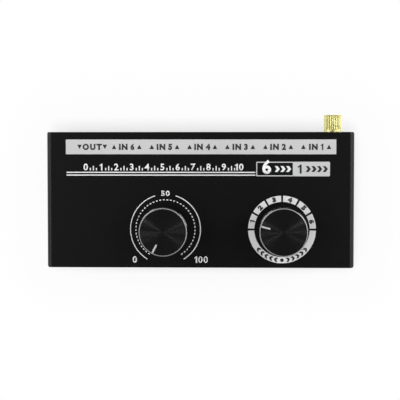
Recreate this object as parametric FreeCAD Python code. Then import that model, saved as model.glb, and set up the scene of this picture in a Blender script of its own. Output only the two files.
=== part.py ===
import FreeCAD
import Part
import math
import os

# Audio source selector: six inputs and one output, each with a large and a small
# jack, a volume control, a six-way rotary selector and a ground terminal.
# Millimetres. +X runs to the right as seen from above with the jacks at the far
# side, +Y to the rear where the jacks are, +Z up. The origin is on the surface
# that the selector stands on, at the centre of its footprint.

Vector = FreeCAD.Vector
UP = Vector(0, 0, 1)
REARWARD = Vector(0, 1, 0)
SIDEWAYS = Vector(1, 0, 0)

# Shell, whose width, depth and height are stacked up further down from what it holds
COVER_SHEET = 1.2
COVER_BEND = 2.2
COVER_FRONT_CORNER = 1.15
CHASSIS_SHEET = 1.2
CHASSIS_BEND = 1.6
SIDE_GAP = 0.25
WALL_INSET = 0.3
FLANGE_LENGTH = 12.0
FLANGE_HEIGHT = 10.5

# Feet
FOOT_RADIUS = 6.8
FOOT_HEIGHT = 2.4
FOOT_EDGE = 0.9
FOOT_EDGE_STEPS = 4
FOOT_FROM_SIDE = 14.2
FOOT_FROM_END = 10.0

# Screws of the cover and of the boards
SCREW_RADIUS = 1.5
SCREW_HEAD_RADIUS = 2.6
SCREW_HEAD_HEIGHT = 1.8
SCREW_LENGTH = 5.0
SCREW_POINT = 0.25
SCREW_SLOT = 0.7
SCREW_SLOT_DEPTH = 0.9
SCREW_SLOT_REACH = 1.55
PAN_HEAD = ((1.0, 0.45), (0.93, 0.7), (0.75, 0.9), (0.45, 1.0))
COVER_SCREW_HEIGHT = 5.2
COVER_SCREW_FROM_END = 11.5

# Clearances, and how far a cut runs past the face that it goes through
PAST = 1.0
THREAD_GAP = 0.05
HOLE_GAP = 0.15
RUNNING_GAP = 0.05
SEAT_GAP = 0.3

# Jacks, the first column on the right
JACK_COUNT = 7
JACK_PITCH = 16.0
JACK_TO_PILLAR = 0.9
LAST_JACK_EXTRA = 1.2

LARGE_BORE = 3.3
LARGE_RING = 4.6
LARGE_SLEEVE_DEPTH = 8.0
LARGE_COLLAR = 5.4
LARGE_COLLAR_THICKNESS = 1.0
LARGE_MOUTH_BEVEL = 0.55
RING_EDGE = 0.2
LARGE_BODY_SPACING = 1.4
LARGE_BODY_TOP = 7.3
LARGE_BODY_BASE = 7.5
LARGE_BODY_DEPTH = 31.5
LARGE_CAVITY = 4.8
LARGE_BACK_WALL = 1.3
LARGE_SPRING_THICKNESS = 0.4
LARGE_SPRING_WIDTH = 2.4

SMALL_BORE = 1.8
SMALL_RING = 3.15
SMALL_SLEEVE = 2.3
SMALL_SLEEVE_DEPTH = 4.0
SMALL_MOUTH_BEVEL = 0.4
SMALL_BODY_WIDTH = 7.2
SMALL_BODY_TOP = 2.8
SMALL_BODY_BASE = 2.8
SMALL_BODY_DEPTH = 14.5
SMALL_CAVITY = 2.2
SMALL_BACK_WALL = 0.8
SMALL_SPRING_THICKNESS = 0.25
SMALL_SPRING_WIDTH = 1.6
LARGE_RING_LEG = 12.0
SMALL_RING_LEG = 5.8
RING_STANDS_PROUD = 0.3
SMALL_RING_SETBACK = 0.1
LUG_WIDTH = 1.0
LUG_THICKNESS = 0.4
LARGE_LUG_SETBACK = 6.0
SMALL_LUG_SETBACK = 2.6
SLOT_GAP = 0.2
SPRING_OFF_WALL = 1.25
SPRING_PRESS = 0.8
TIP_SPRING_BENDS = (0.45, 0.85, 1.25, 1.65)
RING_SPRING_BENDS = (0.8, 1.25, 1.7, 2.0)

# Boards, standoffs and the pins that join the boards
BOARD_THICKNESS = 1.6
LOWER_BOARD_LIFT = 5.8
UPPER_BOARD_GAP = 5.8
BOARD_FROM_SIDE = 4.0
BOARD_FROM_REAR = 0.5
LOWER_BOARD_DEPTH = 39.0
UPPER_BOARD_FROM_FRONT = 1.5
PIN_BELOW_BOARD = 1.4
STANDOFF_FLATS = 5.5
STANDOFF_SHANK = 2.1
STANDOFF_WEB = 2.8
PILLAR_FROM_EDGE = 3.0
REAR_PILLAR_FROM_REAR = 16.5
PILLAR_SPACING = 18.0
PIN_WIDTH = 0.64
PIN_PITCH = 2.54
PINS_PER_JACK = 3
PIN_HOLE = 0.5
PIN_BASE_HEIGHT = 2.5
PIN_ROW_FROM_JACK = 3.0

# Knobs, measured up from the top of the cover
CONTROL_FROM_REAR = 43.0
CONTROL_ABOVE_BOARD = 3.2
SELECTOR_TO_WALL = 2.7
VOLUME_X = -15.3
SELECTOR_X = 36.2
KNOB_LIFT = 0.6
KNOB_SKIRT = 10.25
KNOB_SKIRT_TOP = 5.7
KNOB_GROOVE = 9.9
KNOB_GROOVE_WIDTH = 0.4
KNOB_GRIP = 10.6
KNOB_GRIP_TOP = 17.1
KNOB_CROWN = 10.3
KNOB_TOP = 19.3
KNOB_EDGE = 0.35
KNOB_SOFTENING = 0.12
KNOB_RECESS = 8.6
KNOB_RECESS_TOP = 5.4
KNOB_HUB = 5.5
KNOB_HUB_TOP = 16.5
KNOB_BORE_TOP = 14.6
POINTER_INNER = 5.9
POINTER_LENGTH = 4.2
POINTER_WIDTH = 0.9
POINTER_DEPTH = 0.35
VOLUME_POINTER_ANGLE = 243.0
SELECTOR_POINTER_ANGLE = 165.0

# Shared parts of the two controls
SHAFT_RADIUS = 3.0
SHAFT_TOP = 14.4
SHAFT_CHAMFER = 0.4
BUSHING_TOP = 4.8
NUT_THICKNESS = 2.0
NUT_CHAMFER = 0.4
WASHER_THICKNESS = 0.5

# Volume control, a dual rotary potentiometer under the cover
VOLUME_BUSHING = 3.5
VOLUME_NUT_FLATS = 10.0
VOLUME_WASHER = 6.0
VOLUME_PLATE = 8.4
VOLUME_PLATE_THICKNESS = 1.2
VOLUME_CAN = 8.2
VOLUME_CAN_WALL = 0.5
VOLUME_DEPTH = 10.0
VOLUME_COLLAR = 4.0
VOLUME_COLLAR_HEIGHT = 0.9
VOLUME_SPINDLE = 2.0
WAFER_THICKNESS = 0.8
WAFER_HOLE = 2.6
WAFER_TONGUE = 6.4
WAFER_TONGUE_REACH = 8.8
GANG_COUNT = 2
GANG_PITCH = 3.2
FIRST_WAFER_DROP = 3.6
WIPER_RADIUS = 5.5
WIPER_THICKNESS = 1.0
BRUSH_RADIUS = 4.6
BRUSH_WIDTH = 1.0
TERMINALS_PER_GANG = 3
TERMINAL_PITCH = 5.0
TERMINAL_WIDTH = 1.0
TERMINAL_THICKNESS = 0.4
TERMINAL_ROW_STEP = 2.5

# Rotary selector under the cover
SELECTOR_BUSHING = 4.5
SELECTOR_NUT_FLATS = 12.0
SELECTOR_WASHER = 7.2
SELECTOR_FLANGE = 6.5
SELECTOR_ROOF = 1.2
SELECTOR_BODY = 12.8
SELECTOR_CAP_DEPTH = 4.8
SELECTOR_DEPTH = 9.8
SELECTOR_CAM = 10.0
CAM_VALLEY_RADIUS = 1.6
CAM_VALLEY_DEPTH = 0.3
SELECTOR_STEPS = 12
ROTOR_RADIUS = 9.2
ROTOR_TOP_GAP = 0.3
ROTOR_LIFT = 0.2
POCKET_RADIUS = 1.05
POCKET_FLOOR = 5.0
BALL_RADIUS = 1.0
BALL_CLEARANCE = 0.1
SPRING_WIRE = 0.12
SPRING_RADIUS = 0.75
SPRING_TURNS = 5
BASE_CAVITY = 10.6
BASE_CAVITY_DEPTH = 2.0
CONTACT_CIRCLE = 8.4
CONTACT_HEAD = 0.8
CONTACT_HEIGHT = 1.5
CONTACT_PIN = 0.5
COMMON_INNER = 4.4
COMMON_OUTER = 5.6
COMMON_SWEEP = 164.0
SWITCH_WIPER_INNER = 4.2
SWITCH_WIPER_OUTER = 9.1
SWITCH_WIPER_WIDTH = 1.6
SWITCH_WIPER_THICKNESS = 0.3
SWITCH_NIB = 0.5
SELECTOR_PILOT = 1.5
SELECTOR_PILOT_DEPTH = 2.4

# Ground terminal
GROUND_TO_JACK = 0.5
GROUND_HEIGHT = 25.9
GROUND_REACH = 8.0
GROUND_STUD = 2.0
GROUND_STUD_INNER = 8.0
GROUND_COLLAR = 3.6
GROUND_COLLAR_THICKNESS = 0.8
GROUND_WASHER = 3.85
GROUND_WASHER_THICKNESS = 0.8
GROUND_NUT = 4.0
GROUND_NUT_CAP = 1.2
GROUND_NUT_CHAMFER = 0.4
GROUND_STUD_SHORT = 0.5
KNURL_COUNT = 28
KNURL_DEPTH = 0.22
KNURL_WIDTH = 0.54
INNER_NUT_FLATS = 7.0
INNER_NUT_THICKNESS = 3.2
LUG_RING = 4.2
LUG_SHEET = 0.6
LUG_TAIL = 8.0
LUG_TAIL_WIDTH = 2.4
WIRE_FROM_TAIL_END = 0.6
BOARD_CUTOUT_GAP = 1.0
WIRE_RADIUS = 0.5
WIRE_BEND = 5.0
WIRE_SETBACK = 7.0

# Levels and faces worked out from the sizes above
LARGE_BODY_WIDTH = JACK_PITCH - LARGE_BODY_SPACING
PILLAR_FROM_SIDE = COVER_SHEET + SIDE_GAP + BOARD_FROM_SIDE + PILLAR_FROM_EDGE
JACK_FROM_SIDE = PILLAR_FROM_SIDE + STANDOFF_FLATS / 2 + JACK_TO_PILLAR + LARGE_BODY_WIDTH / 2
SHELL_WIDTH = (JACK_COUNT - 1) * JACK_PITCH + 2 * JACK_FROM_SIDE + LAST_JACK_EXTRA
SHELL_DEPTH = CONTROL_FROM_REAR + SELECTOR_BODY + SELECTOR_TO_WALL + CHASSIS_SHEET + WALL_INSET
HALF_WIDTH = SHELL_WIDTH / 2
CHASSIS_HALF = HALF_WIDTH - COVER_SHEET - SIDE_GAP
FLOOR_Z = FOOT_HEIGHT
FLOOR_TOP_Z = FLOOR_Z + CHASSIS_SHEET
LOWER_BOARD_BOTTOM = FLOOR_TOP_Z + LOWER_BOARD_LIFT
LOWER_BOARD_TOP = LOWER_BOARD_BOTTOM + BOARD_THICKNESS
LARGE_JACK_Z = LOWER_BOARD_TOP + LARGE_BODY_BASE
UPPER_BOARD_BOTTOM = LARGE_JACK_Z + LARGE_BODY_TOP + UPPER_BOARD_GAP
UPPER_BOARD_TOP = UPPER_BOARD_BOTTOM + BOARD_THICKNESS
SMALL_JACK_Z = UPPER_BOARD_TOP + SMALL_BODY_BASE
CEILING_Z = UPPER_BOARD_TOP + CONTROL_ABOVE_BOARD + SELECTOR_DEPTH
ROOF_Z = CEILING_Z + COVER_SHEET
REAR_Y = (SHELL_DEPTH - GROUND_REACH) / 2
FRONT_Y = REAR_Y - SHELL_DEPTH
REAR_FACE_Y = REAR_Y - WALL_INSET
REAR_INNER_Y = REAR_FACE_Y - CHASSIS_SHEET
FRONT_FACE_Y = FRONT_Y + WALL_INSET
FRONT_INNER_Y = FRONT_FACE_Y + CHASSIS_SHEET
BOARD_HALF = CHASSIS_HALF - BOARD_FROM_SIDE
BOARD_REAR_Y = REAR_INNER_Y - BOARD_FROM_REAR
PILLAR_X = HALF_WIDTH - PILLAR_FROM_SIDE
PILLAR_Y = [REAR_INNER_Y - REAR_PILLAR_FROM_REAR - i * PILLAR_SPACING for i in range(2)]
LOWER_PIN_END = LOWER_BOARD_BOTTOM - PIN_BELOW_BOARD
UPPER_PIN_END = UPPER_BOARD_BOTTOM - PIN_BELOW_BOARD
JACK_X = [HALF_WIDTH - JACK_FROM_SIDE - i * JACK_PITCH for i in range(JACK_COUNT)]
PIN_ROW_Y = REAR_INNER_Y - LARGE_BODY_DEPTH - PIN_ROW_FROM_JACK
CONTROL_Y = REAR_Y - CONTROL_FROM_REAR
RING_FACE_Y = REAR_FACE_Y + RING_STANDS_PROUD
GROUND_X = JACK_X[0] + LARGE_BODY_WIDTH / 2 + GROUND_TO_JACK + INNER_NUT_FLATS / 2
GROUND_Z = FLOOR_Z + GROUND_HEIGHT
LARGE_TIP_LEG = LARGE_BODY_DEPTH - LARGE_BACK_WALL - LARGE_SPRING_THICKNESS
SMALL_TIP_LEG = SMALL_BODY_DEPTH - SMALL_BACK_WALL - SMALL_SPRING_THICKNESS
WAFER_RADIUS = VOLUME_CAN - VOLUME_CAN_WALL
SELECTOR_CAP_BOTTOM = CEILING_Z - SELECTOR_CAP_DEPTH
SELECTOR_BOTTOM = CEILING_Z - SELECTOR_DEPTH
ROTOR_BOTTOM = SELECTOR_CAP_BOTTOM + ROTOR_LIFT
ROTOR_TOP = CEILING_Z - SELECTOR_ROOF - ROTOR_TOP_GAP
ROTOR_MIDDLE = (ROTOR_BOTTOM + ROTOR_TOP) / 2
CONTACT_FLOOR = SELECTOR_CAP_BOTTOM - BASE_CAVITY_DEPTH
CONTACT_TOP = CONTACT_FLOOR + CONTACT_HEIGHT
COMMON_MIDDLE = (COMMON_INNER + COMMON_OUTER) / 2
BALL_CENTRE = SELECTOR_CAM - BALL_CLEARANCE - BALL_RADIUS
GROUND_WASHER_Y = REAR_FACE_Y + GROUND_COLLAR_THICKNESS
GROUND_NUT_Y = GROUND_WASHER_Y + GROUND_WASHER_THICKNESS
GROUND_END_Y = REAR_Y + GROUND_REACH
GROUND_BORE_END_Y = GROUND_END_Y - GROUND_NUT_CAP
INNER_NUT_Y = REAR_INNER_Y - LUG_SHEET - INNER_NUT_THICKNESS


# Plain solids

def box(x0, x1, y0, y1, z0, z1):
    return Part.makeBox(x1 - x0, y1 - y0, z1 - z0, Vector(x0, y0, z0))


def post(radius, x, y, z0, z1):
    return Part.makeCylinder(radius, z1 - z0, Vector(x, y, z0), UP)


def rod(radius, x, z, y0, y1):
    return Part.makeCylinder(radius, y1 - y0, Vector(x, y0, z), REARWARD)


def bar(radius, y, z, x0, x1):
    return Part.makeCylinder(radius, x1 - x0, Vector(x0, y, z), SIDEWAYS)


def hexagon(flats, x, y, z0, z1):
    """An upright six-sided prism with two of its flats facing along X."""
    corner = flats / math.sqrt(3)
    points = []
    for i in range(7):
        angle = math.radians(30 + 60 * i)
        points.append(Vector(x + corner * math.cos(angle), y + corner * math.sin(angle), z0))
    return Part.Face(Part.makePolygon(points)).extrude(Vector(0, 0, z1 - z0))


def turned(profile, x=0.0, y=0.0):
    """A closed outline of (radius, height) points, turned about the upright line through x, y."""
    points = [Vector(r, 0, z) for r, z in profile]
    face = Part.Face(Part.makePolygon(points + points[:1]))
    solid = face.revolve(Vector(0, 0, 0), UP, 360)
    solid.translate(Vector(x, y, 0))
    return solid


def lay_back(solid, x, z):
    """Lays a solid made about the upright axis down, so that its +Z points to the rear."""
    solid.rotate(Vector(0, 0, 0), SIDEWAYS, -90)
    solid.translate(Vector(x, 0, z))
    return solid


def strip(points, thickness, width, x):
    """A bent strip of metal: a centre line of (y, z) points, thickened and given its width along X."""
    one_side = []
    other_side = []
    for i, (y, z) in enumerate(points):
        before = points[max(i - 1, 0)]
        after = points[min(i + 1, len(points) - 1)]
        normals = []
        for start, end in ((before, (y, z)), ((y, z), after)):
            length = math.hypot(end[0] - start[0], end[1] - start[1])
            if length > 0:
                normals.append((-(end[1] - start[1]) / length, (end[0] - start[0]) / length))
        ny = sum(n[0] for n in normals) / len(normals)
        nz = sum(n[1] for n in normals) / len(normals)
        scale = thickness / 2 / (ny * ny + nz * nz)
        one_side.append(Vector(x - width / 2, y + ny * scale, z + nz * scale))
        other_side.append(Vector(x - width / 2, y - ny * scale, z - nz * scale))
    outline = one_side + other_side[::-1]
    return Part.Face(Part.makePolygon(outline + outline[:1])).extrude(Vector(width, 0, 0))


def rounded_prism(points, radii, direction):
    """A prism of a closed outline whose corners are rounded by the radii given."""
    edges = []
    count = len(points)
    starts = []
    ends = []
    for i, (corner, radius) in enumerate(zip(points, radii)):
        back = (points[i - 1] - corner).normalize()
        ahead = (points[(i + 1) % count] - corner).normalize()
        half = back.getAngle(ahead) / 2
        reach = radius / math.tan(half)
        starts.append(corner + back * reach)
        ends.append(corner + ahead * reach)
        if radius > 0:
            centre = corner + (back + ahead).normalize() * (radius / math.sin(half))
            middle = centre + (corner - centre).normalize() * radius
            edges.append(Part.Arc(starts[i], middle, ends[i]).toShape())
        else:
            edges.append(None)
    outline = []
    for i in range(count):
        if edges[i] is not None:
            outline.append(edges[i])
        outline.append(Part.LineSegment(ends[i], starts[(i + 1) % count]).toShape())
    return Part.Face(Part.Wire(outline)).extrude(direction)


def tube_along(points, bend, radius):
    """A round wire along straight runs joined by tangent arcs."""
    edges = []
    last = points[0]
    for i in range(1, len(points) - 1):
        corner = points[i]
        back = (points[i - 1] - corner).normalize()
        ahead = (points[i + 1] - corner).normalize()
        half = back.getAngle(ahead) / 2
        reach = bend / math.tan(half)
        start = corner + back * reach
        end = corner + ahead * reach
        centre = corner + (back + ahead).normalize() * (bend / math.sin(half))
        middle = centre + (corner - centre).normalize() * bend
        edges.append(Part.LineSegment(last, start).toShape())
        edges.append(Part.Arc(start, middle, end).toShape())
        last = end
    edges.append(Part.LineSegment(last, points[-1]).toShape())
    path = Part.Wire(edges)
    ring = Part.Wire(Part.makeCircle(radius, points[0], points[1] - points[0]))
    return path.makePipeShell([ring], True, True)


def moved(solid, x=0.0, y=0.0, z=0.0):
    copy = solid.copy()
    copy.translate(Vector(x, y, z))
    return copy


def spun(solid, angle, x, y):
    copy = solid.copy()
    copy.rotate(Vector(x, y, 0), UP, angle)
    return copy


def at_each_jack(solid):
    """One copy of a solid made at X = 0 for each column of jacks."""
    return [moved(solid, x) for x in JACK_X]


# Shell and feet

def cover_outline(half_width, top, radius, y):
    """The shell's cross-section, with its upper corners rounded, as corner points and radii."""
    points = [
        Vector(-half_width, y, FLOOR_Z),
        Vector(half_width, y, FLOOR_Z),
        Vector(half_width, y, top),
        Vector(-half_width, y, top),
    ]
    return points, [0, 0, radius, radius]


def cover_screw_places():
    ends = (REAR_Y - COVER_SCREW_FROM_END, FRONT_Y + COVER_SCREW_FROM_END)
    return [(side, y, FLOOR_Z + COVER_SCREW_HEIGHT) for side in (-1, 1) for y in ends]


def top_cover():
    along = Vector(0, SHELL_DEPTH, 0)
    points, radii = cover_outline(HALF_WIDTH, ROOF_Z, COVER_BEND, FRONT_Y)
    cover = rounded_prism(points, radii, along)
    points, radii = cover_outline(
        HALF_WIDTH - COVER_SHEET, CEILING_Z, COVER_BEND - COVER_SHEET, FRONT_Y)
    cover = cover.cut(rounded_prism(points, radii, along))
    plan = [
        Vector(-HALF_WIDTH, FRONT_Y, 0),
        Vector(HALF_WIDTH, FRONT_Y, 0),
        Vector(HALF_WIDTH, REAR_Y, 0),
        Vector(-HALF_WIDTH, REAR_Y, 0),
    ]
    corner = COVER_FRONT_CORNER
    cover = cover.common(rounded_prism(plan, [corner, corner, 0, 0], Vector(0, 0, ROOF_Z)))
    holes = [
        post(VOLUME_BUSHING + HOLE_GAP, VOLUME_X, CONTROL_Y, CEILING_Z - PAST, ROOF_Z + PAST),
        post(SELECTOR_BUSHING + HOLE_GAP, SELECTOR_X, CONTROL_Y, CEILING_Z - PAST, ROOF_Z + PAST),
    ]
    for side, y, z in cover_screw_places():
        centre = side * (HALF_WIDTH - COVER_SHEET / 2)
        holes.append(bar(SCREW_RADIUS + HOLE_GAP, y, z, centre - COVER_SHEET, centre + COVER_SHEET))
    return cover.cut(holes)


def chassis():
    """Floor, front wall and rear wall, bent from one sheet, with a flange for each cover screw."""
    height = CEILING_Z - FLOOR_Z
    outer = [
        Vector(-CHASSIS_HALF, FRONT_FACE_Y, FLOOR_Z),
        Vector(-CHASSIS_HALF, REAR_FACE_Y, FLOOR_Z),
        Vector(-CHASSIS_HALF, REAR_FACE_Y, FLOOR_Z + height),
        Vector(-CHASSIS_HALF, FRONT_FACE_Y, FLOOR_Z + height),
    ]
    inner = [
        Vector(-CHASSIS_HALF, FRONT_INNER_Y, FLOOR_TOP_Z),
        Vector(-CHASSIS_HALF, REAR_INNER_Y, FLOOR_TOP_Z),
        Vector(-CHASSIS_HALF, REAR_INNER_Y, FLOOR_Z + height),
        Vector(-CHASSIS_HALF, FRONT_INNER_Y, FLOOR_Z + height),
    ]
    across = Vector(2 * CHASSIS_HALF, 0, 0)
    bend = CHASSIS_BEND
    sheet = rounded_prism(outer, [bend, bend, 0, 0], across)
    bend = CHASSIS_BEND - CHASSIS_SHEET
    sheet = sheet.cut(rounded_prism(inner, [bend, bend, 0, 0], across))
    points, radii = cover_outline(
        CHASSIS_HALF, CEILING_Z, COVER_BEND - COVER_SHEET + SIDE_GAP, FRONT_Y)
    sheet = sheet.common(rounded_prism(points, radii, Vector(0, SHELL_DEPTH, 0)))
    for side, y, z in cover_screw_places():
        outer_x = side * CHASSIS_HALF
        inner_x = outer_x - side * CHASSIS_SHEET
        flange = box(
            min(outer_x, inner_x), max(outer_x, inner_x),
            y - FLANGE_LENGTH / 2, y + FLANGE_LENGTH / 2,
            FLOOR_Z, FLOOR_Z + FLANGE_HEIGHT)
        sheet = sheet.fuse(flange)
    holes = []
    for side, y, z in cover_screw_places():
        centre = side * (CHASSIS_HALF - CHASSIS_SHEET / 2)
        reach = CHASSIS_SHEET
        holes.append(bar(SCREW_RADIUS + THREAD_GAP, y, z, centre - reach, centre + reach))
    for x in JACK_X:
        holes.append(rod(LARGE_RING + HOLE_GAP, x, LARGE_JACK_Z, REAR_INNER_Y - PAST, REAR_FACE_Y + PAST))
        holes.append(rod(SMALL_RING + HOLE_GAP, x, SMALL_JACK_Z, REAR_INNER_Y - PAST, REAR_FACE_Y + PAST))
    holes.append(rod(GROUND_STUD + HOLE_GAP, GROUND_X, GROUND_Z, REAR_INNER_Y - PAST, REAR_FACE_Y + PAST))
    for x, y in pillar_places():
        holes.append(post(STANDOFF_SHANK, x, y, FLOOR_Z - PAST, FLOOR_TOP_Z + PAST))
    return sheet.cut(holes).removeSplitter()


def screw(length):
    """A pan-head screw that points down, its head's seat at Z = 0, with a cross recess."""
    head = SCREW_HEAD_RADIUS
    dome = SCREW_HEAD_HEIGHT
    profile = [
        (0, -length),
        (SCREW_RADIUS - SCREW_POINT, -length),
        (SCREW_RADIUS, -length + SCREW_POINT),
        (SCREW_RADIUS, 0),
        (head, 0),
    ]
    profile += [(across * head, up * dome) for across, up in PAN_HEAD]
    profile.append((0, dome))
    solid = turned(profile)
    arm = SCREW_SLOT_REACH
    half = SCREW_SLOT / 2
    bottom = dome - SCREW_SLOT_DEPTH
    return solid.cut([
        box(-arm, arm, -half, half, bottom, dome + PAST),
        box(-half, half, -arm, arm, bottom, dome + PAST),
    ])


def cover_screws():
    solids = []
    for side, y, z in cover_screw_places():
        solid = screw(SCREW_LENGTH)
        solid.rotate(Vector(0, 0, 0), REARWARD, side * 90)
        solids.append(moved(solid, side * HALF_WIDTH, y, z))
    return solids


def rubber_feet():
    profile = [(0, 0)]
    for i in range(FOOT_EDGE_STEPS + 1):
        turn = math.pi / 2 * i / FOOT_EDGE_STEPS
        inward = FOOT_EDGE * (1 - math.sin(turn))
        profile.append((FOOT_RADIUS - inward, FOOT_EDGE * (1 - math.cos(turn))))
    foot = turned(profile + [(FOOT_RADIUS, FOOT_HEIGHT), (0, FOOT_HEIGHT)])
    places = []
    for side in (-1, 1):
        x = side * (HALF_WIDTH - FOOT_FROM_SIDE)
        places.append((x, REAR_Y - FOOT_FROM_END))
        places.append((x, FRONT_Y + FOOT_FROM_END))
    return [moved(foot, x, y) for x, y in places]


# Boards

def pillar_places():
    return [(side * PILLAR_X, y) for side in (-1, 1) for y in PILLAR_Y]


def pin_places():
    middle = (PINS_PER_JACK - 1) / 2
    return [(x + (i - middle) * PIN_PITCH, PIN_ROW_Y) for x in JACK_X for i in range(PINS_PER_JACK)]


def leg_slot(width, thickness, setback, z0, z1):
    """The slot that a contact's leg goes down through, at X = 0."""
    half_x = width / 2 + SLOT_GAP
    half_y = thickness / 2 + SLOT_GAP
    y = REAR_INNER_Y - setback
    return box(-half_x, half_x, y - half_y, y + half_y, z0, z1)


def large_leg_slots(z0, z1):
    return [
        leg_slot(LARGE_SPRING_WIDTH, LARGE_SPRING_THICKNESS, LARGE_TIP_LEG, z0, z1),
        leg_slot(LARGE_SPRING_WIDTH, LARGE_SPRING_THICKNESS, LARGE_RING_LEG, z0, z1),
        leg_slot(LUG_WIDTH, LUG_THICKNESS, LARGE_LUG_SETBACK, z0, z1),
    ]


def small_leg_slots(z0, z1):
    return [
        leg_slot(SMALL_SPRING_WIDTH, SMALL_SPRING_THICKNESS, SMALL_TIP_LEG, z0, z1),
        leg_slot(SMALL_SPRING_WIDTH, SMALL_SPRING_THICKNESS, SMALL_RING_LEG, z0, z1),
        leg_slot(LUG_WIDTH, LUG_THICKNESS, SMALL_LUG_SETBACK, z0, z1),
    ]


def drilled_board(depth_y, top, holes):
    bottom = top - BOARD_THICKNESS
    board = box(-BOARD_HALF, BOARD_HALF, depth_y, BOARD_REAR_Y, bottom, top)
    for x, y in pin_places():
        holes.append(post(PIN_HOLE, x, y, bottom - PAST, top + PAST))
    for x, y in pillar_places():
        holes.append(post(SCREW_RADIUS + HOLE_GAP, x, y, bottom - PAST, top + PAST))
    return board.cut(holes)


def lower_board():
    holes = []
    for slot in large_leg_slots(LOWER_BOARD_BOTTOM - PAST, LOWER_BOARD_TOP + PAST):
        holes += at_each_jack(slot)
    return drilled_board(BOARD_REAR_Y - LOWER_BOARD_DEPTH, LOWER_BOARD_TOP, holes)


def upper_board():
    """Carries the small jacks and both controls, with a corner cut away for the ground terminal."""
    bottom = UPPER_BOARD_BOTTOM - PAST
    top = UPPER_BOARD_TOP + PAST
    holes = []
    for slot in small_leg_slots(bottom, top):
        holes += at_each_jack(slot)
    for x, y in volume_terminal_places():
        holes.append(post(TERMINAL_WIDTH / 2 + SLOT_GAP, x, y, bottom, top))
    for x, y in selector_pin_places():
        holes.append(post(CONTACT_PIN + HOLE_GAP, x, y, bottom, top))
    clear = max(LUG_RING, INNER_NUT_FLATS / math.sqrt(3)) + BOARD_CUTOUT_GAP
    holes.append(box(
        GROUND_X - clear, BOARD_HALF + PAST,
        REAR_INNER_Y - GROUND_STUD_INNER - BOARD_CUTOUT_GAP, BOARD_REAR_Y + PAST,
        bottom, top))
    return drilled_board(FRONT_INNER_Y + UPPER_BOARD_FROM_FRONT, UPPER_BOARD_TOP, holes)


def board_standoffs():
    solids = []
    for x, y in pillar_places():
        solid = hexagon(STANDOFF_FLATS, x, y, FLOOR_TOP_Z, LOWER_BOARD_BOTTOM)
        solid = solid.fuse(post(STANDOFF_SHANK, x, y, FLOOR_Z, FLOOR_TOP_Z))
        thread = post(SCREW_RADIUS + THREAD_GAP, x, y, FLOOR_Z + STANDOFF_WEB, LOWER_BOARD_BOTTOM)
        solids.append(solid.cut(thread))
    return solids


def board_pillars():
    solids = []
    for x, y in pillar_places():
        solid = hexagon(STANDOFF_FLATS, x, y, LOWER_BOARD_TOP, UPPER_BOARD_BOTTOM)
        stud_end = FLOOR_Z + STANDOFF_WEB + SEAT_GAP
        solid = solid.fuse(post(SCREW_RADIUS, x, y, stud_end, LOWER_BOARD_TOP))
        depth = SCREW_LENGTH - BOARD_THICKNESS + SEAT_GAP
        thread = post(SCREW_RADIUS + THREAD_GAP, x, y, UPPER_BOARD_BOTTOM - depth, UPPER_BOARD_BOTTOM)
        solids.append(solid.cut(thread))
    return solids


def board_screws():
    return [moved(screw(SCREW_LENGTH), x, y, UPPER_BOARD_TOP) for x, y in pillar_places()]


def link_pins():
    half = PIN_WIDTH / 2
    top = UPPER_BOARD_TOP + PIN_BELOW_BOARD
    return [box(x - half, x + half, y - half, y + half, LOWER_PIN_END, top) for x, y in pin_places()]


def link_pin_bases():
    """The moulded strip round each jack's three pins, seated on the lower board."""
    half_x = PINS_PER_JACK * PIN_PITCH / 2
    half_y = PIN_PITCH / 2
    top = LOWER_BOARD_TOP + PIN_BASE_HEIGHT
    block = box(-half_x, half_x, PIN_ROW_Y - half_y, PIN_ROW_Y + half_y, LOWER_BOARD_TOP, top)
    blocks = at_each_jack(block)
    holes = [post(PIN_HOLE, x, y, LOWER_BOARD_TOP - PAST, top + PAST) for x, y in pin_places()]
    return [block.cut(holes) for block in blocks]


# Jacks

def jack_body(width, base, top, depth, cavity, sleeve, sleeve_depth, back_wall, axis_z):
    """A moulded block with a bore at the panel end for the sleeve and a square cavity behind it."""
    body = box(-width / 2, width / 2, REAR_INNER_Y - depth, REAR_INNER_Y, axis_z - base, axis_z + top)
    rear = REAR_INNER_Y - depth + back_wall
    front = REAR_INNER_Y - sleeve_depth
    return body.cut([
        box(-cavity, cavity, rear, front, axis_z - cavity, axis_z + cavity),
        rod(sleeve, 0, axis_z, front, REAR_INNER_Y + PAST),
    ])


def large_jack_bodies():
    body = jack_body(
        LARGE_BODY_WIDTH, LARGE_BODY_BASE, LARGE_BODY_TOP, LARGE_BODY_DEPTH, LARGE_CAVITY,
        LARGE_RING + THREAD_GAP, LARGE_SLEEVE_DEPTH, LARGE_BACK_WALL, LARGE_JACK_Z)
    seat = rod(
        LARGE_COLLAR + THREAD_GAP, 0, LARGE_JACK_Z,
        REAR_INNER_Y - LARGE_COLLAR_THICKNESS, REAR_INNER_Y + PAST)
    return at_each_jack(body.cut([seat] + large_leg_slots(LOWER_BOARD_TOP - PAST, LARGE_JACK_Z)))


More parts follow.
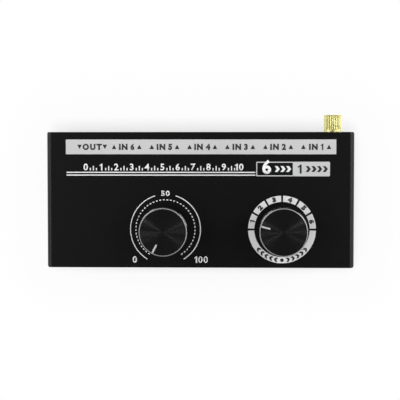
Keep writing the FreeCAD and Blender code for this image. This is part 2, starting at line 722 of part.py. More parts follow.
def large_jack_sleeves():
    """The plated nose that shows at the panel, held by its collar behind the wall, with its lug."""
    bevel = LARGE_MOUTH_BEVEL
    back = REAR_INNER_Y - LARGE_SLEEVE_DEPTH
    sleeve = lay_back(turned([
        (LARGE_BORE, back),
        (LARGE_RING, back),
        (LARGE_RING, REAR_INNER_Y - LARGE_COLLAR_THICKNESS),
        (LARGE_COLLAR, REAR_INNER_Y - LARGE_COLLAR_THICKNESS),
        (LARGE_COLLAR, REAR_INNER_Y),
        (LARGE_RING, REAR_INNER_Y),
        (LARGE_RING, RING_FACE_Y - RING_EDGE),
        (LARGE_RING - RING_EDGE, RING_FACE_Y),
        (LARGE_BORE + bevel, RING_FACE_Y),
        (LARGE_BORE, RING_FACE_Y - bevel),
    ]), 0, LARGE_JACK_Z)
    y = REAR_INNER_Y - LARGE_LUG_SETBACK
    top = LARGE_JACK_Z - (LARGE_BORE + LARGE_RING) / 2
    lug = box(
        -LUG_WIDTH / 2, LUG_WIDTH / 2, y - LUG_THICKNESS / 2, y + LUG_THICKNESS / 2,
        LOWER_PIN_END, top)
    return at_each_jack(sleeve.fuse(lug))


def small_jack_bodies():
    body = jack_body(
        SMALL_BODY_WIDTH, SMALL_BODY_BASE, SMALL_BODY_TOP, SMALL_BODY_DEPTH, SMALL_CAVITY,
        SMALL_SLEEVE + THREAD_GAP, SMALL_SLEEVE_DEPTH, SMALL_BACK_WALL, SMALL_JACK_Z)
    return at_each_jack(body.cut(small_leg_slots(UPPER_BOARD_TOP - PAST, SMALL_JACK_Z)))


def small_jack_sleeves():
    bevel = SMALL_MOUTH_BEVEL
    back = REAR_INNER_Y - SMALL_SLEEVE_DEPTH
    face = RING_FACE_Y - SMALL_RING_SETBACK
    sleeve = lay_back(turned([
        (SMALL_BORE, back),
        (SMALL_SLEEVE, back),
        (SMALL_SLEEVE, REAR_INNER_Y),
        (SMALL_RING, REAR_INNER_Y),
        (SMALL_RING, face - RING_EDGE),
        (SMALL_RING - RING_EDGE, face),
        (SMALL_BORE + bevel, face),
        (SMALL_BORE, face - bevel),
    ]), 0, SMALL_JACK_Z)
    y = REAR_INNER_Y - SMALL_LUG_SETBACK
    top = SMALL_JACK_Z - (SMALL_BORE + SMALL_SLEEVE) / 2
    lug = box(
        -LUG_WIDTH / 2, LUG_WIDTH / 2, y - LUG_THICKNESS / 2, y + LUG_THICKNESS / 2,
        UPPER_PIN_END, top)
    return at_each_jack(sleeve.fuse(lug))


def tip_spring(leg, cavity, bore, thickness, width, axis_z, pin_end):
    """Stands behind the plug's tip and bends forward above it, with a bump that presses on it."""
    y = REAR_INNER_Y - leg
    level = axis_z + cavity - SPRING_OFF_WALL * thickness
    before, bump, after, end = [y + share * cavity for share in TIP_SPRING_BENDS]
    return strip([
        (y, pin_end),
        (y, level),
        (before, level),
        (bump, axis_z + SPRING_PRESS * bore),
        (after, level),
        (end, level),
    ], thickness, width, 0)


def ring_spring(leg, cavity, bore, thickness, width, axis_z, pin_end):
    """Lies along the floor of the cavity, with a bump that presses up on the plug's ring."""
    y = REAR_INNER_Y - leg
    level = axis_z - cavity + SPRING_OFF_WALL * thickness
    before, bump, after, end = [y - share * cavity for share in RING_SPRING_BENDS]
    return strip([
        (y, pin_end),
        (y, level),
        (before, level),
        (bump, axis_z - SPRING_PRESS * bore),
        (after, level),
        (end, level),
    ], thickness, width, 0)


def large_spring_sizes():
    return (
        LARGE_CAVITY, LARGE_BORE, LARGE_SPRING_THICKNESS, LARGE_SPRING_WIDTH,
        LARGE_JACK_Z, LOWER_PIN_END)


def small_spring_sizes():
    return (
        SMALL_CAVITY, SMALL_BORE, SMALL_SPRING_THICKNESS, SMALL_SPRING_WIDTH,
        SMALL_JACK_Z, UPPER_PIN_END)


# Knobs and what the two controls share

def knob(x, pointer_angle):
    """A turned cap: a skirt, a narrow groove, the grip, a slightly smaller crown and a bright edge."""
    soft = KNOB_SOFTENING
    groove_top = KNOB_SKIRT_TOP + KNOB_GROOVE_WIDTH
    profile = [
        (KNOB_RECESS, KNOB_LIFT),
        (KNOB_SKIRT - soft, KNOB_LIFT),
        (KNOB_SKIRT, KNOB_LIFT + soft),
        (KNOB_SKIRT, KNOB_SKIRT_TOP - soft),
        (KNOB_SKIRT - soft, KNOB_SKIRT_TOP),
        (KNOB_GROOVE, KNOB_SKIRT_TOP),
        (KNOB_GROOVE, groove_top),
        (KNOB_GRIP - soft, groove_top),
        (KNOB_GRIP, groove_top + soft),
        (KNOB_GRIP, KNOB_GRIP_TOP - soft),
        (KNOB_GRIP - soft, KNOB_GRIP_TOP),
        (KNOB_CROWN, KNOB_GRIP_TOP),
        (KNOB_CROWN, KNOB_TOP - KNOB_EDGE),
        (KNOB_CROWN - KNOB_EDGE, KNOB_TOP),
        (0, KNOB_TOP),
        (0, KNOB_HUB_TOP),
        (KNOB_HUB, KNOB_HUB_TOP),
        (KNOB_HUB, KNOB_RECESS_TOP),
        (KNOB_RECESS, KNOB_RECESS_TOP),
    ]
    solid = moved(turned(profile, x, CONTROL_Y), z=ROOF_Z)
    return solid.cut(pointer(x, pointer_angle, POINTER_WIDTH))


def pointer(x, angle, width):
    """The line let into the top of a knob, from near its middle out to its edge."""
    outer = min(POINTER_INNER + POINTER_LENGTH, KNOB_CROWN - KNOB_EDGE)
    top = ROOF_Z + KNOB_TOP
    line = box(
        x + POINTER_INNER, x + outer, CONTROL_Y - width / 2, CONTROL_Y + width / 2,
        top - POINTER_DEPTH, top)
    return spun(line, angle, x, CONTROL_Y)


def knob_hub(x):
    """The moulded sleeve inside a knob that grips the shaft."""
    bottom = ROOF_Z + KNOB_RECESS_TOP
    hub = post(KNOB_HUB, x, CONTROL_Y, bottom, ROOF_Z + KNOB_HUB_TOP)
    bore = post(SHAFT_RADIUS, x, CONTROL_Y, bottom - PAST, ROOF_Z + KNOB_BORE_TOP)
    return hub.cut(bore)


def fixing_nut(x, bushing, flats):
    bottom = ROOF_Z + WASHER_THICKNESS
    nut = hexagon(flats, x, CONTROL_Y, bottom, bottom + NUT_THICKNESS)
    corner = flats / math.sqrt(3)
    crown = moved(turned([
        (0, 0),
        (corner, 0),
        (corner, NUT_THICKNESS - NUT_CHAMFER),
        (flats / 2, NUT_THICKNESS),
        (0, NUT_THICKNESS),
    ], x, CONTROL_Y), z=bottom)
    thread = post(bushing + THREAD_GAP, x, CONTROL_Y, bottom - PAST, bottom + NUT_THICKNESS + PAST)
    return nut.common(crown).cut(thread)


def fixing_washer(x, bushing, radius):
    washer = post(radius, x, CONTROL_Y, ROOF_Z, ROOF_Z + WASHER_THICKNESS)
    hole = post(bushing + HOLE_GAP, x, CONTROL_Y, ROOF_Z - PAST, ROOF_Z + WASHER_THICKNESS + PAST)
    return washer.cut(hole)


# Volume control

def wafer_level(gang):
    """The underside of a gang's wafer."""
    return CEILING_Z - FIRST_WAFER_DROP - gang * GANG_PITCH


def volume_bushing():
    """The threaded bushing and the square front plate that it is cast with."""
    bottom = CEILING_Z - VOLUME_PLATE_THICKNESS
    plate = box(
        VOLUME_X - VOLUME_PLATE, VOLUME_X + VOLUME_PLATE,
        CONTROL_Y - VOLUME_PLATE, CONTROL_Y + VOLUME_PLATE,
        bottom, CEILING_Z)
    tube = post(VOLUME_BUSHING, VOLUME_X, CONTROL_Y, CEILING_Z, ROOF_Z + BUSHING_TOP)
    bore = post(SHAFT_RADIUS + RUNNING_GAP, VOLUME_X, CONTROL_Y, bottom - PAST, ROOF_Z + BUSHING_TOP + PAST)
    return plate.fuse(tube).cut(bore)


def volume_can():
    """The drawn can round the wafers, with a window for their tongues."""
    top = CEILING_Z - VOLUME_PLATE_THICKNESS
    bottom = CEILING_Z - VOLUME_DEPTH
    outer = post(VOLUME_CAN, VOLUME_X, CONTROL_Y, bottom, top)
    inner_radius = VOLUME_CAN - VOLUME_CAN_WALL
    inner = post(inner_radius, VOLUME_X, CONTROL_Y, bottom + VOLUME_CAN_WALL, top + PAST)
    half = WAFER_TONGUE + SEAT_GAP
    window = box(
        VOLUME_X - half, VOLUME_X + half,
        CONTROL_Y - VOLUME_CAN - PAST, CONTROL_Y - WAFER_HOLE,
        bottom + VOLUME_CAN_WALL, top + PAST)
    return outer.cut([inner, window])


def volume_wafers():
    """The two fixed wafers with the resistive tracks, each with a tongue that carries its terminals."""
    solids = []
    for gang in range(GANG_COUNT):
        bottom = wafer_level(gang)
        top = bottom + WAFER_THICKNESS
        wafer = post(WAFER_RADIUS, VOLUME_X, CONTROL_Y, bottom, top)
        wafer = wafer.fuse(box(
            VOLUME_X - WAFER_TONGUE, VOLUME_X + WAFER_TONGUE,
            CONTROL_Y - WAFER_TONGUE_REACH, CONTROL_Y, bottom, top))
        hole = post(WAFER_HOLE, VOLUME_X, CONTROL_Y, bottom - PAST, top + PAST)
        solids.append(wafer.cut(hole).removeSplitter())
    return solids


def volume_terminal_row(gang):
    """How far in front of the shaft a gang's terminals come down, clear of the row above."""
    return CONTROL_Y - WAFER_TONGUE_REACH - TERMINAL_THICKNESS - gang * TERMINAL_ROW_STEP


def volume_terminal_x():
    middle = (TERMINALS_PER_GANG - 1) / 2
    return [VOLUME_X + (i - middle) * TERMINAL_PITCH for i in range(TERMINALS_PER_GANG)]


def terminal_gang(row):
    """The upper wafer feeds the outer row of terminals, so that the rows do not cross."""
    return GANG_COUNT - 1 - row


def volume_terminal_places():
    return [(x, volume_terminal_row(row)) for row in range(GANG_COUNT) for x in volume_terminal_x()]


def volume_terminals():
    solids = []
    for row in range(GANG_COUNT):
        level = wafer_level(terminal_gang(row)) + WAFER_THICKNESS / 2
        start = CONTROL_Y - WAFER_TONGUE_REACH
        for x in volume_terminal_x():
            solids.append(strip([
                (start, level),
                (volume_terminal_row(row), level),
                (volume_terminal_row(row), UPPER_PIN_END),
            ], TERMINAL_THICKNESS, TERMINAL_WIDTH, x))
    return solids


def volume_shaft():
    """The shaft in the bushing, a collar that keeps it in and a thinner spindle through the wafers."""
    collar_top = CEILING_Z - VOLUME_PLATE_THICKNESS - RUNNING_GAP
    collar_bottom = collar_top - VOLUME_COLLAR_HEIGHT
    spindle_bottom = CEILING_Z - VOLUME_DEPTH + VOLUME_CAN_WALL + SEAT_GAP
    top = ROOF_Z + SHAFT_TOP
    return turned([
        (0, spindle_bottom),
        (VOLUME_SPINDLE, spindle_bottom),
        (VOLUME_SPINDLE, collar_bottom),
        (VOLUME_COLLAR, collar_bottom),
        (VOLUME_COLLAR, collar_top),
        (SHAFT_RADIUS, collar_top),
        (SHAFT_RADIUS, top - SHAFT_CHAMFER),
        (SHAFT_RADIUS - SHAFT_CHAMFER, top),
        (0, top),
    ], VOLUME_X, CONTROL_Y)


def volume_wipers():
    """A rotor disc under each wafer, with the brush that runs on its track."""
    solids = []
    for gang in range(GANG_COUNT):
        top = wafer_level(gang) - SEAT_GAP
        disc = post(WIPER_RADIUS, VOLUME_X, CONTROL_Y, top - WIPER_THICKNESS, top)
        brush = box(
            VOLUME_X + BRUSH_RADIUS - BRUSH_WIDTH, VOLUME_X + BRUSH_RADIUS,
            CONTROL_Y - BRUSH_WIDTH / 2, CONTROL_Y + BRUSH_WIDTH / 2,
            top, top + SEAT_GAP - RUNNING_GAP)
        bore = post(VOLUME_SPINDLE, VOLUME_X, CONTROL_Y, top - WIPER_THICKNESS - PAST, top + PAST)
        wiper = disc.fuse(brush).cut(bore)
        solids.append(spun(wiper, VOLUME_POINTER_ANGLE, VOLUME_X, CONTROL_Y))
    return solids


# Rotary selector

def step_angles():
    """The angles of the selector's steps: the pointer's rest position and one every step from it."""
    return [SELECTOR_POINTER_ANGLE + i * 360.0 / SELECTOR_STEPS for i in range(SELECTOR_STEPS)]


def on_circle(radius, angle):
    turn = math.radians(angle)
    return SELECTOR_X + radius * math.cos(turn), CONTROL_Y + radius * math.sin(turn)


def common_places():
    """One pin for each pole's common, in the middle of its arc."""
    return [on_circle(COMMON_MIDDLE, angle) for angle in (90, 270)]


def selector_pin_places():
    return [on_circle(CONTACT_CIRCLE, angle) for angle in step_angles()] + common_places()


def selector_bushing():
    bottom = CEILING_Z - SELECTOR_ROOF
    top = ROOF_Z + BUSHING_TOP
    tube = post(SELECTOR_BUSHING, SELECTOR_X, CONTROL_Y, bottom, top)
    flange = post(SELECTOR_FLANGE, SELECTOR_X, CONTROL_Y, bottom, CEILING_Z)
    bore = post(SHAFT_RADIUS + RUNNING_GAP, SELECTOR_X, CONTROL_Y, bottom - PAST, top + PAST)
    return flange.fuse(tube).cut(bore)


def selector_cap():
    """The upper half of the switch, whose inner wall has a shallow valley at every step."""
    cap = post(SELECTOR_BODY, SELECTOR_X, CONTROL_Y, SELECTOR_CAP_BOTTOM, CEILING_Z)
    roof = CEILING_Z - SELECTOR_ROOF
    cuts = [
        post(SELECTOR_CAM, SELECTOR_X, CONTROL_Y, SELECTOR_CAP_BOTTOM - PAST, roof),
        post(SELECTOR_FLANGE, SELECTOR_X, CONTROL_Y, roof - PAST, CEILING_Z + PAST),
    ]
    valley_circle = SELECTOR_CAM + CAM_VALLEY_DEPTH - CAM_VALLEY_RADIUS
    for angle in step_angles():
        x, y = on_circle(valley_circle, angle)
        cuts.append(post(CAM_VALLEY_RADIUS, x, y, SELECTOR_CAP_BOTTOM - PAST, roof))
    return cap.cut(cuts)


def selector_base():
    """The lower half of the switch, which holds the fixed contacts."""
    base = post(SELECTOR_BODY, SELECTOR_X, CONTROL_Y, SELECTOR_BOTTOM, SELECTOR_CAP_BOTTOM)
    cuts = [post(BASE_CAVITY, SELECTOR_X, CONTROL_Y, CONTACT_FLOOR, SELECTOR_CAP_BOTTOM + PAST)]
    for x, y in selector_pin_places():
        cuts.append(post(CONTACT_PIN + THREAD_GAP, x, y, SELECTOR_BOTTOM - PAST, CONTACT_FLOOR + PAST))
    pilot_floor = ROTOR_BOTTOM - SELECTOR_PILOT_DEPTH - SEAT_GAP
    cuts.append(post(
        SELECTOR_PILOT + RUNNING_GAP, SELECTOR_X, CONTROL_Y, pilot_floor, CONTACT_FLOOR + PAST))
    return base.cut(cuts)


def selector_contacts():
    """One rivet-headed pin for each step: two poles of six."""
    solids = []
    for angle in step_angles():
        x, y = on_circle(CONTACT_CIRCLE, angle)
        head = post(CONTACT_HEAD, x, y, CONTACT_FLOOR, CONTACT_TOP)
        pin = post(CONTACT_PIN, x, y, UPPER_PIN_END, CONTACT_FLOOR)
        solids.append(head.fuse(pin))
    return solids


def selector_commons():
    """A curved rail for each pole, with its pin."""
    solids = []
    centre = Vector(SELECTOR_X, CONTROL_Y, CONTACT_FLOOR)
    inner = post(COMMON_INNER, SELECTOR_X, CONTROL_Y, CONTACT_FLOOR - PAST, CONTACT_TOP + PAST)
    for (x, y), angle in zip(common_places(), (90, 270)):
        outer = Part.makeCylinder(COMMON_OUTER, CONTACT_HEIGHT, centre, UP, COMMON_SWEEP)
        rail = spun(outer, angle - COMMON_SWEEP / 2, SELECTOR_X, CONTROL_Y).cut(inner)
        pin = post(CONTACT_PIN, x, y, UPPER_PIN_END, CONTACT_FLOOR)
        solids.append(rail.fuse(pin))
    return solids


def selector_shaft():
    """The shaft down to the rotor, with a thin pilot that runs in the base."""
    pilot_end = ROTOR_BOTTOM - SELECTOR_PILOT_DEPTH
    top = ROOF_Z + SHAFT_TOP
    return turned([
        (0, pilot_end),
        (SELECTOR_PILOT, pilot_end),
        (SELECTOR_PILOT, ROTOR_BOTTOM),
        (SHAFT_RADIUS, ROTOR_BOTTOM),
        (SHAFT_RADIUS, top - SHAFT_CHAMFER),
        (SHAFT_RADIUS - SHAFT_CHAMFER, top),
        (0, top),
    ], SELECTOR_X, CONTROL_Y)


def selector_rotor():
    """The moulded rotor, with a pocket on each side for a spring and its ball."""
    rotor = post(ROTOR_RADIUS, SELECTOR_X, CONTROL_Y, ROTOR_BOTTOM, ROTOR_TOP)
    cuts = [post(SHAFT_RADIUS, SELECTOR_X, CONTROL_Y, ROTOR_BOTTOM - PAST, ROTOR_TOP + PAST)]
    for angle in (0, 180):
        pocket = bar(
            POCKET_RADIUS, CONTROL_Y, ROTOR_MIDDLE,
            SELECTOR_X + POCKET_FLOOR, SELECTOR_X + ROTOR_RADIUS + PAST)
        cuts.append(spun(pocket, SELECTOR_POINTER_ANGLE + angle, SELECTOR_X, CONTROL_Y))
    return rotor.cut(cuts)


def detent_balls():
    solids = []
    for angle in (0, 180):
        x, y = on_circle(BALL_CENTRE, SELECTOR_POINTER_ANGLE + angle)
        solids.append(Part.makeSphere(BALL_RADIUS, Vector(x, y, ROTOR_MIDDLE)))
    return solids


def detent_springs():
    """A small coil spring behind each ball."""
    length = BALL_CENTRE - BALL_RADIUS - POCKET_FLOOR - 2 * SPRING_WIRE - 2 * THREAD_GAP
    helix = Part.makeHelix(length / SPRING_TURNS, length, SPRING_RADIUS)
    wire_end = Part.makeCircle(SPRING_WIRE, Vector(SPRING_RADIUS, 0, 0), REARWARD)
    coil = Part.Wire(helix).makePipeShell([Part.Wire(wire_end)], True, True)
    coil.rotate(Vector(0, 0, 0), REARWARD, 90)
    start = SELECTOR_X + POCKET_FLOOR + SPRING_WIRE + THREAD_GAP
    coil.translate(Vector(start, CONTROL_Y, ROTOR_MIDDLE))
    return [
        spun(coil, SELECTOR_POINTER_ANGLE + angle, SELECTOR_X, CONTROL_Y)
        for angle in (0, 180)
    ]


def selector_wipers():
    """A strip under the rotor for each pole, with a nib on the common rail and one on the steps."""
    wiper = box(
        SELECTOR_X + SWITCH_WIPER_INNER, SELECTOR_X + SWITCH_WIPER_OUTER,
        CONTROL_Y - SWITCH_WIPER_WIDTH / 2, CONTROL_Y + SWITCH_WIPER_WIDTH / 2,
        ROTOR_BOTTOM - SWITCH_WIPER_THICKNESS, ROTOR_BOTTOM)
    for radius in (COMMON_MIDDLE, CONTACT_CIRCLE):
        wiper = wiper.fuse(post(
            SWITCH_NIB, SELECTOR_X + radius, CONTROL_Y, CONTACT_TOP + RUNNING_GAP, ROTOR_BOTTOM))
    return [
        spun(wiper, SELECTOR_POINTER_ANGLE + angle, SELECTOR_X, CONTROL_Y)
        for angle in (0, 180)
    ]


# Ground terminal

def ground_stud():
    """A threaded stud through the rear wall, with a collar that bears on the wall outside."""
    stud = rod(
        GROUND_STUD, GROUND_X, GROUND_Z,
        REAR_INNER_Y - GROUND_STUD_INNER, GROUND_BORE_END_Y - GROUND_STUD_SHORT)
    collar = rod(GROUND_COLLAR, GROUND_X, GROUND_Z, REAR_FACE_Y, GROUND_WASHER_Y)
    return stud.fuse(collar)


def ground_washer():
    washer = rod(GROUND_WASHER, GROUND_X, GROUND_Z, GROUND_WASHER_Y, GROUND_NUT_Y)
    hole = rod(GROUND_STUD + RUNNING_GAP, GROUND_X, GROUND_Z, GROUND_WASHER_Y - PAST, GROUND_NUT_Y + PAST)
    return washer.cut(hole)


def ground_nut():
    """The closed thumb nut, fluted all round, with a turned end face."""
    chamfer = GROUND_NUT_CHAMFER
    radius = GROUND_NUT
    nut = lay_back(turned([
        (0, GROUND_BORE_END_Y),
        (GROUND_STUD + RUNNING_GAP, GROUND_BORE_END_Y),
        (GROUND_STUD + RUNNING_GAP, GROUND_NUT_Y),
        (radius - chamfer / 2, GROUND_NUT_Y),
        (radius, GROUND_NUT_Y + chamfer / 2),
        (radius, GROUND_END_Y - chamfer),
        (radius - chamfer, GROUND_END_Y),
        (0, GROUND_END_Y),
    ]), GROUND_X, GROUND_Z)
    half = KNURL_WIDTH / 2
    flute_radius = (half * half + KNURL_DEPTH * KNURL_DEPTH) / (2 * KNURL_DEPTH)
    flute_circle = radius + flute_radius - KNURL_DEPTH
    flutes = []
    for i in range(KNURL_COUNT):
        turn = 2 * math.pi * i / KNURL_COUNT
        x = GROUND_X + flute_circle * math.cos(turn)
        z = GROUND_Z + flute_circle * math.sin(turn)
        flutes.append(rod(flute_radius, x, z, GROUND_NUT_Y - PAST, GROUND_END_Y + PAST))
    return nut.cut(flutes)


def ground_inner_nut():
    nut = hexagon(INNER_NUT_FLATS, 0, 0, INNER_NUT_Y, INNER_NUT_Y + INNER_NUT_THICKNESS)
    nut = lay_back(nut, GROUND_X, GROUND_Z)
    hole = rod(
        GROUND_STUD + THREAD_GAP, GROUND_X, GROUND_Z,
        INNER_NUT_Y - PAST, INNER_NUT_Y + INNER_NUT_THICKNESS + PAST)
    return nut.cut(hole)


def ground_lug():
    """The solder lug under the inner nut, its tail hanging down."""
    front = REAR_INNER_Y - LUG_SHEET
    ring = rod(LUG_RING, GROUND_X, GROUND_Z, front, REAR_INNER_Y)
    half = LUG_TAIL_WIDTH / 2
    tail = box(GROUND_X - half, GROUND_X + half, front, REAR_INNER_Y, GROUND_Z - LUG_TAIL, GROUND_Z)
    hole = rod(GROUND_STUD + THREAD_GAP, GROUND_X, GROUND_Z, front - PAST, REAR_INNER_Y + PAST)
    return ring.fuse(tail).cut(hole)


def ground_wire():
    """From the lug's tail, inwards and down to the lower board."""
    start_y = REAR_INNER_Y - LUG_SHEET
    start_z = GROUND_Z - LUG_TAIL + WIRE_FROM_TAIL_END
    return tube_along([
        Vector(GROUND_X, start_y, start_z),
        Vector(GROUND_X, start_y - WIRE_SETBACK, start_z),
        Vector(GROUND_X, start_y - WIRE_SETBACK, LOWER_BOARD_TOP),
    ], WIRE_BEND, WIRE_RADIUS)


# Every piece or group of like pieces, by its name

PARTS = {
    "top_cover": top_cover,
    "chassis": chassis,
    "cover_screws": cover_screws,
    "rubber_feet": rubber_feet,
    "lower_board": lower_board,
    "upper_board": upper_board,
    "board_standoffs": board_standoffs,
    "board_pillars": board_pillars,
    "board_screws": board_screws,
    "link_pins": link_pins,
    "link_pin_bases": link_pin_bases,
    "large_jack_bodies": large_jack_bodies,
    "large_jack_sleeves": large_jack_sleeves,
    "large_jack_tip_springs": lambda: at_each_jack(tip_spring(LARGE_TIP_LEG, *large_spring_sizes())),
    "large_jack_ring_springs": lambda: at_each_jack(ring_spring(LARGE_RING_LEG, *large_spring_sizes())),
    "small_jack_bodies": small_jack_bodies,
    "small_jack_sleeves": small_jack_sleeves,
    "small_jack_tip_springs": lambda: at_each_jack(tip_spring(SMALL_TIP_LEG, *small_spring_sizes())),
    "small_jack_ring_springs": lambda: at_each_jack(ring_spring(SMALL_RING_LEG, *small_spring_sizes())),
    "volume_knob": lambda: knob(VOLUME_X, VOLUME_POINTER_ANGLE),
    "volume_knob_hub": lambda: knob_hub(VOLUME_X),
    "volume_pointer": lambda: pointer(VOLUME_X, VOLUME_POINTER_ANGLE, POINTER_WIDTH),
    "volume_shaft": volume_shaft,
    "volume_bushing": volume_bushing,
    "volume_washer": lambda: fixing_washer(VOLUME_X, VOLUME_BUSHING, VOLUME_WASHER),
    "volume_nut": lambda: fixing_nut(VOLUME_X, VOLUME_BUSHING, VOLUME_NUT_FLATS),
    "volume_can": volume_can,
    "volume_wafers": volume_wafers,
    "volume_wipers": volume_wipers,
    "volume_terminals": volume_terminals,
    "selector_knob": lambda: knob(SELECTOR_X, SELECTOR_POINTER_ANGLE),
    "selector_knob_hub": lambda: knob_hub(SELECTOR_X),
    "selector_pointer": lambda: pointer(SELECTOR_X, SELECTOR_POINTER_ANGLE, POINTER_WIDTH),
    "selector_shaft": selector_shaft,
    "selector_bushing": selector_bushing,
    "selector_washer": lambda: fixing_washer(SELECTOR_X, SELECTOR_BUSHING, SELECTOR_WASHER),
    "selector_nut": lambda: fixing_nut(SELECTOR_X, SELECTOR_BUSHING, SELECTOR_NUT_FLATS),
    "selector_cap": selector_cap,
    "selector_base": selector_base,
    "selector_rotor": selector_rotor,
    "selector_wipers": selector_wipers,
    "selector_contacts": selector_contacts,
    "selector_commons": selector_commons,
    "detent_balls": detent_balls,
    "detent_springs": detent_springs,
    "ground_stud": ground_stud,
    "ground_clamp_washer": ground_washer,
    "ground_thumb_nut": ground_nut,
    "ground_inner_nut": ground_inner_nut,
    "ground_lug": ground_lug,
    "ground_wire": ground_wire,
}


def build():
    os.makedirs("parts", exist_ok=True)
    for name, make in PARTS.items():
        made = make()
        solids = made if isinstance(made, list) else [made]
        shapes = [solid for item in solids for solid in item.Solids]
        shape = shapes[0] if len(shapes) == 1 else Part.makeCompound(shapes)
        if not shape.isValid():
            raise ValueError(name + " is not a valid shape")
        shape.exportStep(os.path.join("parts", name + ".step"))
        low = shape.BoundBox
        print("%-24s %3d solids  volume %9.1f  z %6.2f to %6.2f" % (
            name, len(shapes), shape.Volume, low.ZMin, low.ZMax))


build()
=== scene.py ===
"""Looks of the audio source selector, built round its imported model. Metres, +Z up, jacks at the +Y side."""

import math

import bmesh
import bpy
from mathutils import Matrix, Vector


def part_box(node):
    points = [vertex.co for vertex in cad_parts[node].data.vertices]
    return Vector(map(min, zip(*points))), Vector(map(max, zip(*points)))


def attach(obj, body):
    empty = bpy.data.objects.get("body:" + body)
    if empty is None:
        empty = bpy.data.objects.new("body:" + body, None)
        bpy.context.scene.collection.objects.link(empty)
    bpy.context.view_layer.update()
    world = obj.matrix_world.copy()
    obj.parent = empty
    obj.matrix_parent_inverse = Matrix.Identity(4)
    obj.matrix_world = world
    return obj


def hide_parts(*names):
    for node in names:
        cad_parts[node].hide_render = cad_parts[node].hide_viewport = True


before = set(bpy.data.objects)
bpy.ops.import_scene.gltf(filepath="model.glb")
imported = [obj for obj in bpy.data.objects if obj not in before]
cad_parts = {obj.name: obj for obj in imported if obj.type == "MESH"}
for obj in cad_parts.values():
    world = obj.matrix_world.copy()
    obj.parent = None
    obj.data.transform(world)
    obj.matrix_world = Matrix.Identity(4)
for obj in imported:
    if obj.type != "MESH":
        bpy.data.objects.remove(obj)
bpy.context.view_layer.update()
MM = 0.001
DEGREE = math.pi / 180
DOUBLES = 1e-7
SHARP_OVER = 35 * DEGREE
FACING_REAR = (-90 * DEGREE, 0, 0)
SEEN_FROM_REAR = Matrix(((-1, 0, 0, 0), (0, 0, 1, 0), (0, 1, 0, 0), (0, 0, 0, 1)))

# What the model gives: corners of its pieces, and places worked out from them
COVER_LOW, COVER_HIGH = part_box("top_cover")
NOSE_LOW, NOSE_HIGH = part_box("large_jack_sleeves")
RING_LOW, RING_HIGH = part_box("small_jack_sleeves")
FOOT_LOW, FOOT_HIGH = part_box("rubber_feet")
SCREW_LOW, SCREW_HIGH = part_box("cover_screws")
NUT_LOW, NUT_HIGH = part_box("ground_thumb_nut")
WASHER_LOW, WASHER_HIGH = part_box("ground_clamp_washer")
STUD_LOW, STUD_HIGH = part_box("ground_stud")
VOLUME_LOW, VOLUME_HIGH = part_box("volume_knob")
SELECTOR_LOW, SELECTOR_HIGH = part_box("selector_knob")

ROOF = COVER_HIGH.z
REAR_EDGE = COVER_HIGH.y
WALL_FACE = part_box("chassis")[1].y
WALL_BACK = NOSE_LOW.y + 8.0 * MM
VOLUME_AXIS = Vector(((VOLUME_LOW.x + VOLUME_HIGH.x) / 2, (VOLUME_LOW.y + VOLUME_HIGH.y) / 2, 0))
SELECTOR_AXIS = Vector(((SELECTOR_LOW.x + SELECTOR_HIGH.x) / 2, VOLUME_AXIS.y, 0))
GROUND_AXIS = Vector(((NUT_LOW.x + NUT_HIGH.x) / 2, 0, (NUT_LOW.z + NUT_HIGH.z) / 2))

# Jacks
JACK_COUNT = 7
LARGE_COLLAR = 5.4 * MM
LARGE_RING = 4.6 * MM
LARGE_BORE = 3.3 * MM
SMALL_RING = 3.15 * MM
SMALL_SLEEVE = 2.3 * MM
SMALL_BORE = 1.8 * MM
CONTACT_TIP = 0.66 * MM
CONTACT_DEPTH = 4.6 * MM
LAST_JACK_X = NOSE_LOW.x + LARGE_COLLAR
FIRST_JACK_X = NOSE_HIGH.x - LARGE_COLLAR
JACK_PITCH = (FIRST_JACK_X - LAST_JACK_X) / (JACK_COUNT - 1)
LARGE_AXIS_Z = NOSE_HIGH.z - LARGE_COLLAR
SMALL_AXIS_Z = RING_HIGH.z - SMALL_RING

# Knobs, in millimetres above the roof and out from their axis
KNOB_TOP = 19.3
KNOB_CROWN = 10.3
KNOB_EDGE = 0.35
KNOB_DOME = 0.25
KNOB_FACE = KNOB_CROWN - KNOB_EDGE
GROOVE_FOOT, GROOVE_TOP = 5.7, 6.1
POINTER_INNER = 5.9
POINTER_WIDTH = 0.76
POINTER_DEPTH = 0.5

# How much narrower the ground nut's flutes are than its ribs
FLUTE_NARROWNESS = 2.2

# Marks printed on the cover, as distances from its rear edge and from the middle
INK = 0.03 * MM
INK_SINK = 0.01 * MM
ONE_COAT = INK + INK_SINK
ON_COAT = {"low": ONE_COAT, "high": ONE_COAT + INK}
ON_ROOF = Matrix.Translation((0, 0, ROOF - INK_SINK))
ON_REAR = Matrix.Translation((0, WALL_FACE - INK_SINK, 0)) @ SEEN_FROM_REAR
ONE_SHAPE = (
    (0.24, 0), (0.45, 0), (0.45, 1), (0.29, 1), (0.20, 0.88), (0.03, 0.80), (0.03, 0.63),
    (0.24, 0.72))
LETTER_GAP = 0.17
WORD_SPACE = 0.3
STRIP = (-59.4 * MM, 59.9 * MM, 3.3 * MM, 9.8 * MM)
STRIP_NAME_X = -47.7 * MM
STRIP_FIRST_X = -32.4 * MM
STRIP_PITCH = 16.7 * MM
STRIP_CAP = 2.75 * MM
WEDGE = ((-1, -0.95), (1, -0.95), (0, 0.95))
WEDGE_OFFSET = 5.6 * MM
SCALE_FROM, SCALE_TO = -50.6 * MM, 17.3 * MM
SCALE_FOOT = 16.95 * MM
SCALE_CAP = 3.0 * MM
SCALE_LAST = 10
TICKS = ((0.3, 1.1 * MM), (0.5, 2.0 * MM), (0.7, 1.1 * MM))
TICK_WIDTH = 0.48 * MM
RULES = (-59.1 * MM, 24.4 * MM)
RULE_PLACES = (17.8 * MM, 19.0 * MM)
RULE_WIDTH = 0.5 * MM
